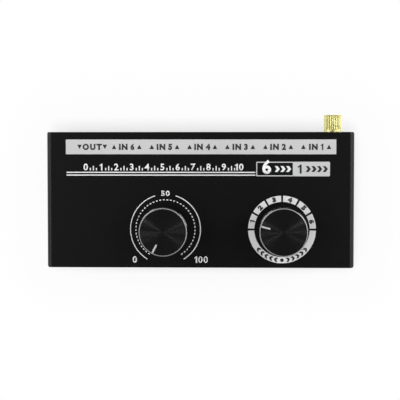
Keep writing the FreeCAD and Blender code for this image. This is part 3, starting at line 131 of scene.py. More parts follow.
BADGE = (24.8 * MM, 57.2 * MM, 13.1 * MM, 19.5 * MM)
BADGE_SPLIT = 41.3 * MM
BADGE_LINE = 0.42 * MM
BADGE_CORNER = 0.5 * MM
CHEVRON = ((-0.85, 1), (0.15, 1), (0.9, 0), (0.15, -1), (-0.85, -1), (-0.1, 0))
CHEVRON_SIZE = 1.3 * MM
CHEVRON_PITCH = 2.5 * MM

# Dials
VOLUME_ARC = 15.5 * MM
VOLUME_ARC_WIDTH = 0.4 * MM
VOLUME_ARC_TOP_GAP = 17.0 * DEGREE
VOLUME_ARC_END = 31.5 * DEGREE
DASH_ARC = 13.1 * MM
DASH_WIDTH = 0.45 * MM
DASH_COUNT = 44
DASH_END = 32.0 * DEGREE
BAND_INNER = 12.2 * MM
BAND_OUTER = 14.95 * MM
BAND_GAP = 0.95 * MM
POSITION_COUNT = 6
POSITION_STEP = 30 * DEGREE
POSITION_CAP = 2.25 * MM
TURN_ARROW = ((-0.9, 1), (0.25, 1), (1.05, 0), (0.25, -1), (-0.9, -1), (-0.05, 0))
TURN_ARROW_SIZE = 0.95 * MM
DOT = 0.8 * MM

# Marks printed on the rear wall, as heights above the shell's lower edge
SHELL_FOOT = COVER_LOW.z
FRAME_FOOT = SHELL_FOOT + 3.85 * MM
FRAME_TOP = SHELL_FOOT + 40.4 * MM
FRAME_BAR_TOP = SHELL_FOOT + 8.1 * MM
FRAME_LINE = 0.42 * MM
FRAME_CORNER = 1.3 * MM
FRAMES = ((-56.3 * MM, 38.5 * MM), (39.2 * MM, 55.8 * MM))
NUMBER_Z = SHELL_FOOT + 25.6 * MM
NUMBER_CAP = 2.25 * MM
NUMBER_OFFSET = 0.5 * MM
GROUND_LINE = 0.38 * MM
GROUND_BARS = (
    (SHELL_FOOT + 19.8 * MM, 3.95 * MM), (SHELL_FOOT + 18.65 * MM, 2.8 * MM),
    (SHELL_FOOT + 17.5 * MM, 2.3 * MM))

# Camera and light, from the photograph's upper view. The floor's whiteness by distance, the
# sky's level by height, and soft boxes: azimuth, spread, two elevations, level
CAMERA_LENS = 102.0
FLOOR_WHITE = ((0.0, 0.5), (8 * MM, 0.94), (36 * MM, 1.0))
SKY = ((0.12, 1.0), (0.3, 0.65), (0.6, 0.7), (0.66, 1.0), (0.78, 1.0), (0.84, 0.03))
SOFT_BOXES = (
    (61, 36, 0, 11.7, 12.0), (326.2, 13, 0, 11.7, 12.0), (304.6, 20.7, 0, 11.7, 12.0),
    (128, 28, 9, 31, 3.0), (222, 28, 9, 31, 3.0), (72, 22, 12, 42, 3.2), (288, 22, 12, 42, 3.2),
    (292, 4, 35, 60, 20.0), (258, 14, 35, 60, 4.0), (70, 4, 35, 60, 20.0), (96, 9, 35, 60, 5.0))
BOX_DISTANCE = 1.6
BOX_AIM = Vector((0, 0, 0.02))
CAMERA_ABOVE_ROOF = 500 * MM
CAMERA_OFFSET = Vector((15.6 * MM, 18.1 * MM, 0))
CAMERA_TARGET = Vector((0.0, -4.0 * MM, ROOF))


# Meshes and pieces

def linked(name, mesh):
    made = bpy.data.objects.new(name, mesh)
    bpy.context.scene.collection.objects.link(made)
    return made


def mesh_of(name, points, faces=()):
    mesh = bpy.data.meshes.new(name)
    mesh.from_pydata([tuple(p) for p in points], [], faces)
    return mesh


def shown_mesh(source):
    """What an object shows, its modifiers or its text made a plain mesh."""
    bpy.context.view_layer.update()
    shown = source.evaluated_get(bpy.context.evaluated_depsgraph_get())
    return bpy.data.meshes.new_from_object(shown)


def settled(source, name):
    """The source with its modifiers made plain, under its name; the source goes."""
    mesh = shown_mesh(source)
    old = source.data
    bpy.data.objects.remove(source)
    bpy.data.meshes.remove(old)
    mesh.name = name
    return linked(name, mesh)


def modify(piece, kind, **settings):
    modifier = piece.modifiers.new(kind.lower(), kind)
    for key, value in settings.items():
        setattr(modifier, key, value)


def cut_with(piece, tool, operation, name):
    """The piece after a Boolean operation with a tool; the tool goes."""
    modify(piece, "BOOLEAN", operation=operation, object=tool, solver="EXACT")
    piece = settled(piece, name)
    bpy.data.objects.remove(tool)
    return piece


def closed_up(piece):
    """Merges doubles and turns every face outwards."""
    work = bmesh.new()
    work.from_mesh(piece.data)
    bmesh.ops.remove_doubles(work, verts=work.verts, dist=DOUBLES)
    bmesh.ops.dissolve_degenerate(work, edges=work.edges, dist=DOUBLES)
    bmesh.ops.recalc_face_normals(work, faces=work.faces)
    work.to_mesh(piece.data)
    work.free()
    return piece


def smoothed(piece, angle=SHARP_OVER):
    """Smooth shading that keeps flats flat and edges over the angle sharp."""
    piece.data.shade_smooth()
    piece.data.set_sharp_from_angle(angle=angle)
    modify(piece, "WEIGHTED_NORMAL", keep_sharp=True)
    name = piece.name
    piece.name = name + "_raw"
    return settled(piece, name)


def rounded_copy(node, name, width, corner=0.0):
    """A copy of a sheet-metal solid, its edges softened and its corners rounded from above."""
    source = linked(name + "_raw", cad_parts[node].data.copy())
    work = bmesh.new()
    work.from_mesh(source.data)
    bmesh.ops.remove_doubles(work, verts=work.verts, dist=10 * DOUBLES)
    bmesh.ops.dissolve_limit(work, angle_limit=1 * DEGREE, verts=work.verts, edges=work.edges)
    work.to_mesh(source.data)
    work.free()
    if corner:
        low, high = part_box(node)
        block = rectangle(
            low.x, high.x, low.y, high.y, low.z - 1 * MM, high.z + 1 * MM, (corner,) * 4)
        source = cut_with(source, block, "INTERSECT", name + "_trimmed")
    source.data.shade_smooth()
    modify(source, "BEVEL", width=width, segments=2, limit_method="ANGLE", angle_limit=SHARP_OVER)
    modify(source, "WEIGHTED_NORMAL", keep_sharp=True)
    return settled(source, name)


def raised(work, faces, height):
    """Makes flat faces into closed solids of a height."""
    grown = bmesh.ops.extrude_face_region(work, geom=faces)
    top = [p for p in grown["geom"] if isinstance(p, bmesh.types.BMVert)]
    bmesh.ops.translate(work, vec=(0, 0, height), verts=top)


def piece_of(work, name):
    mesh = bpy.data.meshes.new(name)
    work.to_mesh(mesh)
    work.free()
    return linked(name, mesh)


def prism(outline, low=0.0, high=INK, soft=0.0):
    """A closed flat solid of a 2-D outline, its upper edge softened where asked."""
    work = bmesh.new()
    raised(work, [work.faces.new([work.verts.new((x, y, low)) for x, y in outline])], high - low)
    if soft:
        edges = [e for e in work.edges if all(v.co.z > (low + high) / 2 for v in e.verts)]
        bmesh.ops.bevel(work, geom=edges, offset=soft, segments=2, profile=0.5, affect="EDGES")
    bmesh.ops.recalc_face_normals(work, faces=work.faces)
    return piece_of(work, "prism")


def joined(name, pieces):
    """Several plain meshes as one piece."""
    work = bmesh.new()
    for piece in pieces:
        mesh = piece.data
        work.from_mesh(mesh)
        bpy.data.objects.remove(piece)
        bpy.data.meshes.remove(mesh)
    return piece_of(work, name)


def dressed(piece, *materials):
    """The piece all in the first material; the others wait for painted()."""
    piece.data.materials.clear()
    for face in piece.data.polygons:
        face.material_index = 0
    for material in materials:
        piece.data.materials.append(material)
    return piece


def painted(piece, index, test):
    """Gives a material slot to the faces whose centre and normal pass the test."""
    for face in piece.data.polygons:
        if test(face.center, face.normal):
            face.material_index = index


def placed(piece, body, slot, *nodes):
    """The piece rides on its body and stands for CAD nodes, if any, which it hides; the slot argument is not
    used.
    """
    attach(piece, body)
    if nodes:
        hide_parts(*nodes)


def circle_point(radius, angle, x=0.0, y=0.0):
    return x + radius * math.cos(angle), y + radius * math.sin(angle)


def profile(*corners, closed=False, steps=4):
    """Outline for turning: corners (radius, height[, rounding]) in millimetres as (x, 0, z)."""
    points = []
    for i, (radius, height, *rounding) in enumerate(corners):
        corner = Vector((radius, 0, height))
        if not rounding:
            points.append(corner * MM)
            continue
        start, end = (
            corner + (Vector((r, 0, h)) - corner).normalized() * rounding[0]
            for r, h, *_ in (corners[i - 1], corners[(i + 1) % len(corners)]))
        for k in range(steps + 1):
            t = k / steps
            points.append(start.lerp(corner, t).lerp(corner.lerp(end, t), t) * MM)
    return points + points[:1] if closed else points


# Node trees

class Nodes:
    """A node tree under construction."""

    def __init__(self, tree):
        self.tree = tree

    def feed(self, socket, value):
        if isinstance(value, bpy.types.NodeSocket):
            self.tree.links.new(value, socket)
        else:
            socket.default_value = value

    def node(self, kind, *values, family="Shader", **named):
        """A new node: small names are settings, sockets are fed in order or by capital names."""
        node = self.tree.nodes.new(family + "Node" + kind)
        for key in [key for key in named if key[0].islower()]:
            setattr(node, key, named.pop(key))
        for socket, value in zip(node.inputs, values):
            self.feed(socket, value)
        for key, value in named.items():
            self.feed(node.inputs[key.replace("_", " ")], value)
        return node

    def add(self, kind, *values, **named):
        return self.node(kind, *values, **named).outputs[0]

    def calc(self, operation, *values):
        return self.add("Math", *values, operation=operation)

    def times(self, *values):
        return self.calc("MULTIPLY", *values)

    def vector(self, x=0.0, y=0.0, z=0.0):
        return self.add("CombineXYZ", x, y, z)

    def parts(self, vector):
        return self.node("SeparateXYZ", vector).outputs

    def ramp(self, value, *stops):
        """A colour ramp through (position, colour) stops in rising order."""
        node = self.node("ValToRGB", value)
        marks = node.color_ramp.elements
        marks[0].position = stops[0][0]
        marks[1].position = stops[-1][0]
        for position, _ in stops[1:-1]:
            marks.new(position)
        for mark, (_, colour) in zip(marks, stops):
            mark.color = (*colour, 1)
        return node.outputs[0]


class Recipe(Nodes):
    """A Geometry Nodes tree; its inputs are set by their sockets' identifiers."""

    def __init__(self, name, **defaults):
        super().__init__(bpy.data.node_groups.new(name, "GeometryNodeTree"))
        kinds = {int: "Int", float: "Float", tuple: "Vector", bpy.types.Material: "Material"}
        sockets = self.tree.interface
        sockets.new_socket("Geometry", in_out="OUTPUT", socket_type="NodeSocketGeometry")
        sockets.new_socket("Outline", in_out="INPUT", socket_type="NodeSocketGeometry")
        self.defaults = {**defaults, "Material": COAT}
        self.keys = {}
        for label, value in self.defaults.items():
            kind = "NodeSocket" + kinds[type(value)]
            socket = sockets.new_socket(label, in_out="INPUT", socket_type=kind)
            self.keys[label] = socket.identifier
        self.inlet = self.tree.nodes.new("NodeGroupInput").outputs

    def shape(self, kind, *values, **named):
        return self.add(kind, *values, family="Geometry", **named)

    def end(self, geometry):
        whole = self.shape("RealizeInstances", Geometry=geometry)
        finished = self.shape("SetMaterial", Geometry=whole, Material=self.inlet["Material"])
        self.feed(self.tree.nodes.new("NodeGroupOutput").inputs[0], finished)
        return self

    def make(self, name, points=((0, 0, 0),), mark=None, **values):
        """The plain mesh that the tree makes of a row of points, or of a mark."""
        source = mark or linked(name + "_raw", mesh_of(name, points))
        modifier = source.modifiers.new("recipe", "NODES")
        modifier.node_group = self.tree
        for label, value in {**self.defaults, **values}.items():
            modifier[self.keys[label]] = value
        return closed_up(settled(source, name))


def turned_stage(tree):
    """Turns points (radius, 0, height) about Z, with flutes and a thread where it is wide."""
    inlet = tree.inlet
    count = tree.shape("AttributeDomainSize", Geometry=inlet["Outline"])
    columns = tree.calc("ADD", inlet["Segments"], 1)
    index = tree.shape("InputIndex")
    along = tree.calc("FLOOR", tree.calc("DIVIDE", tree.calc("ADD", index, 0.5), count))
    which = tree.calc("SUBTRACT", index, tree.times(along, count))
    angle = tree.times(along, tree.calc("DIVIDE", 2 * math.pi, inlet["Segments"]))
    point = tree.shape(
        "SampleIndex", data_type="FLOAT_VECTOR", domain="POINT", Geometry=inlet["Outline"],
        Value=tree.shape("InputPosition"), Index=which)
    radius, _, height = tree.parts(point)
    wave = tree.calc("COSINE", tree.times(angle, inlet["Flutes"]))
    flute = tree.calc("POWER", tree.calc("MULTIPLY_ADD", wave, 0.5, 0.5), FLUTE_NARROWNESS)
    climb = tree.calc("DIVIDE", height, inlet["Thread_Pitch"])
    turns = tree.calc("SUBTRACT", climb, tree.calc("DIVIDE", angle, 2 * math.pi))
    thread = tree.times(tree.calc("PINGPONG", turns, 0.5), 2)
    depth = tree.calc(
        "MULTIPLY_ADD", flute, inlet["Flute_Depth"], tree.times(thread, inlet["Thread_Depth"]))
    reach = tree.add("MapRange", radius, inlet["Cut_From"], inlet["Cut_To"])
    radius = tree.calc("SUBTRACT", radius, tree.times(depth, reach))
    x = tree.times(radius, tree.calc("COSINE", angle))
    y = tree.times(radius, tree.calc("SINE", angle))
    grid = tree.shape("MeshGrid", Vertices_X=columns, Vertices_Y=count)
    whole = tree.shape("SetPosition", Geometry=grid, Position=tree.vector(x, y, height))
    return tree.shape("MergeByDistance", Geometry=whole, Distance=DOUBLES)


def slotted_stage(tree, whole):
    """Cuts two crossing slots into the face of a turned piece."""
    reach, cross, width, bottom = (
        tree.inlet[key] for key in ("Slot_Reach", "Cross_Reach", "Slot_Width", "Slot_Bottom"))
    cut = tree.node("MeshBoolean", whole, family="Geometry", operation="DIFFERENCE")
    height = 4 * MM
    lift = tree.vector(z=tree.calc("ADD", bottom, height / 2))
    for size in ((tree.times(reach, 2), width), (width, tree.times(cross, 2))):
        cube = tree.shape("MeshCube", Size=tree.vector(*size, height))
        tree.feed(cut.inputs[1], tree.shape("Transform", Geometry=cube, Translation=lift))
    return cut.outputs[0]


def turned_recipe(name, **slots):
    tree = Recipe(
        name, Segments=96, Flutes=0, Flute_Depth=0.0, Thread_Depth=0.0, Thread_Pitch=1.0,
        Cut_From=1.0, Cut_To=2.0, Tilt=(0, 0, 0), First=(0, 0, 0), **slots)
    whole = turned_stage(tree)
    if slots:
        whole = slotted_stage(tree, whole)
    return tree.end(tree.shape(
        "Transform", Geometry=whole, Translation=tree.inlet["First"],
        Rotation=tree.inlet["Tilt"]))


def repeat_recipe():
    """Copies of a mark or a piece: each is moved and turned by one step more."""
    tree = Recipe(
        "repeated marks", Count=1, Start=(0, 0, 0), Step=(0, 0, 0), First_Turn=0.0, Turn=0.0)
    inlet = tree.inlet
    spots = tree.shape(
        "MeshLine", Count=inlet["Count"], Start_Location=inlet["Start"], Offset=inlet["Step"])
    turn = tree.calc("MULTIPLY_ADD", tree.shape("InputIndex"), inlet["Turn"], inlet["First_Turn"])
    return tree.end(tree.shape(
        "InstanceOnPoints", Points=spots, Instance=inlet["Outline"],
        Rotation=tree.vector(z=turn)))


# Materials

class Finish(Nodes):
    """A procedural material under construction. Patterns read Object coordinates."""

    def __init__(self, name, **sockets):
        self.material = bpy.data.materials.new(name)
        self.material.use_nodes = True
        super().__init__(self.material.node_tree)
        self.tree.nodes.clear()
        self.shader = self.node("BsdfPrincipled", **sockets)
        self.outlet = self.node("OutputMaterial", self.shader.outputs[0])

    def place(self, centre=(0, 0, 0), scale=(1, 1, 1)):
        """Object coordinates moved so that the centre is at zero, then scaled."""
        where = self.node("TexCoord").outputs["Object"]
        moved = self.add("VectorMath", where, centre, operation="SUBTRACT")
        return self.add("Mapping", Vector=moved, Scale=scale)

    def noise(self, size, detail=3.0, where=None):
        """Noise from 0 to 1 whose blotches are about the size given."""
        return self.add(
            "TexNoise", Vector=where or self.place(), Scale=1 / size, Detail=detail)

    def length(self, vector):
        return self.node("VectorMath", vector, operation="LENGTH").outputs["Value"]

    def radius(self, centre, axis):
        """Distance from an axis through the centre."""
        return self.length(self.place(centre, [float(i != axis) for i in range(3)]))

    def distance_outside(self, low, high):
        """Distance from a rectangle seen from above, zero inside it."""
        middle = (low + high) / 2
        point = self.place((middle.x, middle.y, 0), (1, 1, 0))
        point = self.add("VectorMath", point, operation="ABSOLUTE")
        point = self.add("VectorMath", point, high - middle, operation="SUBTRACT")
        return self.length(
            self.add("VectorMath", point, (0, 0, 0), operation="MAXIMUM"))

    def to_range(self, value, low, high, start=0.3, stop=0.7):
        return self.add("MapRange", value, start, stop, low, high)

    def coloured(self, pattern, first, second):
        colour = self.ramp(pattern, (0.35, first), (0.65, second))
        self.feed(self.shader.inputs["Base Color"], colour)

    def finished(self, colour, rough, bump=None):
        """Colour and roughness each take (pattern, first, second), bump takes (pattern, depth)."""
        self.coloured(*colour)
        self.feed(self.shader.inputs["Roughness"], self.to_range(*rough))
        if bump:
            pattern, depth = bump
            normal = self.add("Bump", Distance=depth, Strength=1.0, Height=pattern)
            self.feed(self.shader.inputs["Normal"], normal)
        return self.material


def grey(level):
    return (level, level, level)


def black_coat():
    """Satin black powder coat on steel sheet, with a fine even grain."""
    finish = Finish("black_powder_coat", Specular_IOR_Level=0.26)
    return finish.finished(
        (finish.noise(3 * MM), grey(0.0021), grey(0.0027)),
        (finish.noise(0.9 * MM), 0.355, 0.385),
        (finish.noise(0.22 * MM, 2.0), 0.004 * MM))


def knob_side(name, centre):
    """Gloss black anodised aluminium with faint turning lines round it."""
    finish = Finish(name, Metallic=0.86, Specular_Tint=(*grey(0.45), 1))
    lines = finish.noise(1.0, 2.0, finish.place(centre, (30, 30, 6000)))
    return finish.finished(
        (lines, grey(0.019), grey(0.023)), (lines, 0.08, 0.13), (lines, 0.0006 * MM))


def knob_top(name, centre):
    """Spun black face: rings so fine that they show as a fan of light."""
    finish = Finish(name, Anisotropic=1.0, Anisotropic_Rotation=0.25, Specular_IOR_Level=0.33)
    rings = finish.noise(0.16 * MM, 2.0, finish.radius(centre, 2))
    tangent = finish.add("Tangent", direction_type="RADIAL", axis="Z")
    finish.feed(finish.shader.inputs["Tangent"], tangent)
    return finish.finished((rings, grey(0.0036), grey(0.0048)), (rings, 0.22, 0.26))


def metal(name, first, second, low, high, grain=0.25 * MM, depth=0.0004 * MM):
    """Bare or plated metal: colour and gloss vary a little with its grain."""
    finish = Finish(name, Metallic=1.0)
    pattern = finish.noise(grain)
    return finish.finished((pattern, first, second), (pattern, low, high), (pattern, depth))


def turned_metal(name, first, second, low, high, centre, axis, pitch):
    """Metal faced on a lathe, with rings about an axis."""
    finish = Finish(name, Metallic=1.0)
    rings = finish.noise(pitch, 1.5, finish.radius(centre, axis))
    return finish.finished((rings, first, second), (rings, low, high), (rings, 0.012 * MM))


def ink(name, first, second):
    """Screen-printed ink, very slightly uneven."""
    finish = Finish(name)
    return finish.finished(
        (finish.noise(0.5 * MM), grey(first), grey(second)), (finish.noise(0.3 * MM), 0.45, 0.55))


def moulded(name, first, second, low, high, grain, depth, gloss=0.5):
    """Moulded plastic or rubber with a fine texture."""
    finish = Finish(name, Specular_IOR_Level=gloss)
    return finish.finished(
        (finish.noise(grain * 6), first, second), (finish.noise(grain * 3), low, high),
        (finish.noise(grain, 2.0), depth))


def board_green():
    """Green solder mask with the copper tracks showing as slightly lighter lines."""
    finish = Finish("green_circuit_board")
    tracks = finish.add(
        "TexBrick", Vector=finish.place(), Color1=(0.012, 0.085, 0.03, 1),
        Color2=(0.010, 0.070, 0.025, 1), Mortar=(0.03, 0.16, 0.06, 1), Scale=1 / (8 * MM),
        Mortar_Size=0.03)
    finish.feed(finish.shader.inputs["Base Color"], tracks)
    finish.feed(
        finish.shader.inputs["Roughness"], finish.to_range(finish.noise(0.5 * MM), 0.25, 0.35))
    return finish.material


COAT = black_coat()
WHITE_INK = ink("white_ink", 0.71, 0.74)
GREY_INK = ink("silver_grey_ink", 0.50, 0.53)
# Darker than the roof's silver ink: painted shade that offsets the stronger light on the rear wall.
BAR_INK_PAINTED_DARKER = ink("silver_ink_bar", 0.41, 0.44)
# Lighter than the strip's grey ink: painted light that offsets the selector knob's shade on its band.
BAND_INK_PAINTED_LIGHT = ink("pale_ink_band", 0.68, 0.71)
DARK_INK = ink("dark_ink", 0.006, 0.009)
BRIGHT_EDGE = metal("cut_aluminium_edge", (0.25, 0.25, 0.26), (0.31, 0.31, 0.32), 0.6, 0.7)
POINTER_METAL = metal(
    "pointer_aluminium", (0.66, 0.67, 0.68), (0.74, 0.75, 0.76), 0.5, 0.6, 0.1 * MM)
GOLD = metal(
    "gold_plate", (0.89, 0.84, 0.28), (0.95, 0.90, 0.33), 0.13, 0.19, 0.12 * MM, 0.0001 * MM)
DARK_NICKEL = metal("dark_nickel", (0.17, 0.17, 0.175), (0.23, 0.23, 0.235), 0.2, 0.3, 0.1 * MM)
BRASS = metal("plain_brass_rod", (0.74, 0.69, 0.31), (0.82, 0.77, 0.38), 0.42, 0.52, 0.12 * MM)
# Brass painted much darker: painted shade in the ground nut's flute hollows and on the chamfer before its
# end.
FLUTE_SHADE_BRASS = metal(
    "brass_in_grooves", (0.24, 0.22, 0.05), (0.32, 0.29, 0.08), 0.4, 0.5, 0.12 * MM)
STEEL = metal("screw_steel_zinc", (0.26, 0.26, 0.27), (0.32, 0.32, 0.33), 0.24, 0.34, 0.12 * MM)
# Bronze painted nearly black: painted shade for the springs, wipers and lug deep inside the case.
SPRING_PAINTED_DARK = metal(
    "spring_bronze", (0.035, 0.031, 0.027), (0.05, 0.045, 0.04), 0.3, 0.42, 0.1 * MM)
PLATED = metal("nickel_plate", (0.62, 0.60, 0.57), (0.72, 0.70, 0.67), 0.16, 0.28)
ALUMINIUM = metal("drawn_aluminium", (0.74, 0.75, 0.76), (0.82, 0.83, 0.84), 0.26, 0.38)
COPPER = metal("tinned_copper_wire", (0.72, 0.36, 0.20), (0.80, 0.44, 0.26), 0.22, 0.34)
RUBBER = moulded(
    "foot_rubber_black", grey(0.004), grey(0.006), 0.62, 0.78, 0.15 * MM, 0.01 * MM, 0.2)
BLACK_PLASTIC = moulded(
    "jack_plastic_black", grey(0.007), grey(0.012), 0.36, 0.48, 0.12 * MM, 0.004 * MM)
CREAM_PLASTIC = moulded(
    "moulded_cream", (0.58, 0.54, 0.42), (0.64, 0.60, 0.48), 0.34, 0.46, 0.12 * MM, 0.004 * MM)
WAFER = moulded(
    "phenolic_brown", (0.16, 0.08, 0.03), (0.22, 0.11, 0.045), 0.45, 0.6, 0.2 * MM, 0.006 * MM)
BOARD = board_green()

TURNED = turned_recipe("turned pieces")
SLOTTED = turned_recipe(
    "turned pieces with slots", Slot_Reach=0.0, Cross_Reach=0.0, Slot_Width=0.0, Slot_Bottom=0.0)
REPEATED = repeat_recipe()


# Shell, feet and screws

def in_two_rows(name, piece, start, pitch, turn=0.0):
    """Four copies of a piece, the second one of each row turned."""
    line = REPEATED.make(
        name, mark=piece, Count=2, Start=start, Step=(pitch[0], 0, 0), Turn=turn)
    return REPEATED.make(name, mark=line, Count=2, Step=(0, pitch[1], 0))


def build_shell():
    for node, name, width, corner in (
            ("top_cover", "cover_sheet", 0.14 * MM, 1.0 * MM),
            ("chassis", "chassis_sheet", 0.18 * MM, 0.0)):
        sheet = rounded_copy(node, name, width, corner)
        placed(dressed(sheet, COAT), "case", "black_coat", node)


def build_feet():
    radius = 6.8
    high = (FOOT_HIGH.z - FOOT_LOW.z) / MM
    outline = profile((0, 0), (radius, 0, 0.9), (radius, high), (0, high), steps=8)
    inset = Vector((radius * MM, radius * MM, 0))
    foot = TURNED.make("foot", outline, Segments=72)
    span = FOOT_HIGH - FOOT_LOW - 2 * inset
    feet = smoothed(in_two_rows("foot_set", foot, FOOT_LOW + inset, span))
    placed(dressed(feet, RUBBER), "case", "foot_rubber", "rubber_feet")


def build_screws():
    head, dome, shank, length = 2.6, 1.8, 1.5, 5.0
    outline = profile(
        (0, -length), (shank - 0.25, -length), (shank, -length + 0.25), (shank, 0), (head, 0),
        (head, 0.55), (head * 0.975, 0.85), (head * 0.91, 1.15), (head * 0.79, 1.42),
        (head * 0.62, 1.62), (head * 0.42, 1.74), (head * 0.2, dome - 0.01), (0, dome))
    seat = SCREW_HIGH.x - dome * MM
    screw = SLOTTED.make(
        "screw", outline, Segments=48, Slot_Reach=1.5 * MM, Cross_Reach=1.5 * MM,
        Slot_Width=0.62 * MM, Slot_Bottom=0.9 * MM, Tilt=(0, math.pi / 2, 0))
    start = (seat, SCREW_LOW.y + head * MM, (SCREW_LOW.z + SCREW_HIGH.z) / 2)
    pitch = (-2 * seat, SCREW_HIGH.y - SCREW_LOW.y - 2 * head * MM)
    screws = smoothed(in_two_rows("cover_screw_set", screw, start, pitch, math.pi), 30 * DEGREE)
    placed(dressed(screws, STEEL), "case", "screw_steel", "cover_screws")


# Jack noses

def along_wall(name, piece, start):
    return REPEATED.make(
        name, mark=piece, Count=JACK_COUNT, Start=start, Step=(JACK_PITCH, 0, 0))


def build_large_noses():
    wall, face, back = WALL_BACK / MM, NOSE_HIGH.y / MM, NOSE_LOW.y / MM
    ring, bore, collar = LARGE_RING / MM, LARGE_BORE / MM, LARGE_COLLAR / MM
    nose = ring - 0.12
    outline = profile(
        (bore, back), (ring, back), (ring, wall - 1.0), (collar, wall - 1.0), (collar, wall),
        (nose, wall), (nose, face, 0.24), (nose - 0.28, face, 0.08), (bore, face - 0.72, 0.2),
        closed=True, steps=5)
    nose = SLOTTED.make(
        "nose", outline, Slot_Reach=(ring + 1) * MM, Cross_Reach=0.1 * MM, Slot_Width=0.3 * MM,
        Slot_Bottom=(face - 0.34) * MM, Tilt=FACING_REAR)
    noses = smoothed(along_wall("large_noses", nose, (LAST_JACK_X, 0, LARGE_AXIS_Z)))
    placed(dressed(noses, GOLD), "case", "gold_plate", "large_jack_sleeves")


def build_small_noses():
    wall, face, back = WALL_BACK / MM, RING_HIGH.y / MM, RING_LOW.y / MM
    ring, sleeve, bore = SMALL_RING / MM, SMALL_SLEEVE / MM, SMALL_BORE / MM
    outline = profile(
        (bore, back), (sleeve, back), (sleeve, wall), (ring, wall), (ring, face, 0.3),
        (ring - 0.72, face - 0.06, 0.12), (ring - 0.84, face - 0.5), (bore + 0.12, face - 0.5),
        (bore, face - 0.62), closed=True)
    nose = TURNED.make("nose", outline, Segments=72, Tilt=FACING_REAR)
    noses = smoothed(along_wall("small_noses", nose, (LAST_JACK_X, 0, SMALL_AXIS_Z)))
    dressed(noses, DARK_NICKEL, BLACK_PLASTIC)

    def in_recess(centre, normal):
        across = math.remainder(centre.x - LAST_JACK_X, JACK_PITCH)
        out = math.hypot(across, centre.z - SMALL_AXIS_Z)
        return centre.y > (back + 0.1) * MM and out < (ring - 0.8) * MM

    painted(noses, 1, in_recess)
    placed(noses, "case", "dark_nickel", "small_jack_sleeves")
    tip = prism(tip_outline(), high=0.5 * MM, soft=0.14 * MM)
    tips = along_wall("small_contact_tips", tip, (-FIRST_JACK_X, 0, 0))
    behind_face = Matrix.Translation((0, RING_HIGH.y - CONTACT_DEPTH, SMALL_AXIS_Z))
    tips.data.transform(behind_face @ SEEN_FROM_REAR)
    placed(dressed(tips, PLATED), "case", "plated_steel")


def tip_outline():
    """A round contact low in a small bore, its lower side following the bore."""
    wall = SMALL_BORE - 0.05 * MM
    drop = 1.5 * MM
    meet = (drop ** 2 + wall ** 2 - CONTACT_TIP ** 2) / (2 * drop)
    half = math.sqrt(wall ** 2 - meet ** 2)
    low = math.atan2(-meet, half)
    start = math.atan2(drop - meet, half)
    upper = [
        circle_point(CONTACT_TIP, start + (math.pi - 2 * start) * k / 16, y=-drop)
        for k in range(17)]
    lower = [
        circle_point(wall, math.pi - low + 2 * (math.pi / 2 + low) * k / 8) for k in range(1, 8)]
    return upper + lower


# Knobs

def dome_height(radius):
    """Height of the spun face at a radius: it falls a little towards its rim."""
    return KNOB_TOP - KNOB_DOME * (radius / KNOB_FACE) ** 2


def knob_outline():
    """From the recess under the knob up its side, over its top and back inside."""
    dome = [
        (KNOB_FACE * share, dome_height(KNOB_FACE * share))
        for share in (1, 0.85, 0.7, 0.5, 0.3, 0.12)]
    return profile(
        (8.6, 0.6), (10.25, 0.6, 0.2), (10.25, GROOVE_FOOT, 0.15), (9.9, GROOVE_FOOT),
        (9.9, GROOVE_TOP), (10.6, GROOVE_TOP, 0.15), (10.6, 16.8), (KNOB_CROWN, 17.1),
        (KNOB_CROWN, dome_height(KNOB_FACE) - KNOB_EDGE), *dome, (0, KNOB_TOP),
        (0, 16.5), (5.5, 16.5), (5.5, 5.4), (8.6, 5.4), closed=True, steps=3)


def pointer_shape(axis, angle, width, bottom, top):
    """A straight bar with rounded ends that lies along a line out from a knob's axis."""
    half = width / 2
    outline = []
    for reach, start in ((POINTER_INNER + half, 90), (KNOB_FACE - half, -90)):
        for k in range(13):
            x, y = circle_point(half, (start + 15 * k) * DEGREE, reach)
            outline.append((x * MM, y * MM))
    piece = prism(outline, bottom, top)
    piece.data.transform(Matrix.Translation(axis) @ Matrix.Rotation(angle, 4, "Z"))
    return piece


def build_knob(label, axis, angle, body):
    middle = (axis.x, axis.y, ROOF)
    top = ROOF + KNOB_TOP * MM
    bottom = top - POINTER_DEPTH * MM
    cap = TURNED.make(label + "_knob_raw", knob_outline(), Segments=160, First=middle)
    slot = pointer_shape(axis, angle, POINTER_WIDTH, bottom, top + 1 * MM)
    cap = smoothed(closed_up(cut_with(cap, slot, "DIFFERENCE", label + "_knob_cut")))
    cap.name = label + "_knob_cap"
    side = knob_side(label + "_knob_side", middle)
    face = knob_top(label + "_knob_spun_face", middle)
    dressed(cap, side, face, BRIGHT_EDGE, COAT)
    dome_rim = top - (KNOB_DOME + 0.01) * MM

    def out_from_axis(place):
        return (place.xy - axis.xy).length / MM

    def on_edge(centre, normal):
        return centre.z > dome_rim - KNOB_EDGE * MM and 0.5 < normal.z < 0.9

    def in_slot(centre, normal):
        low, high = bottom - 0.01 * MM, bottom + 0.01 * MM
        wall = centre.z > low and abs(normal.z) < 0.1
        return out_from_axis(centre) < KNOB_FACE - 0.02 and (wall or low < centre.z < high)

    def in_groove(centre, normal):
        up = (centre.z - ROOF) / MM
        return GROOVE_FOOT - 0.1 < up < GROOVE_TOP + 0.1 and out_from_axis(centre) > 9.8

    painted(cap, 1, lambda centre, normal: centre.z > dome_rim and normal.z > 0.99)
    painted(cap, 2, on_edge)
    painted(cap, 2, in_slot)
    # Painted shade: the groove round the knob takes the duller, darker black coat instead of the knob's gloss
    # black.
    painted(cap, 3, in_groove)
    placed(cap, body, "black_anodised", label + "_knob")
    line = pointer_shape(axis, angle, POINTER_WIDTH - 0.02, bottom, top)
    line.name = label + "_pointer_line"
    for vertex in line.data.vertices:
        if vertex.co.z > bottom + 0.1 * MM:
            vertex.co.z = ROOF + (dome_height(out_from_axis(vertex.co)) - 0.03) * MM
    placed(dressed(line, POINTER_METAL), body, "bright_aluminium", label + "_pointer")


# Ground terminal

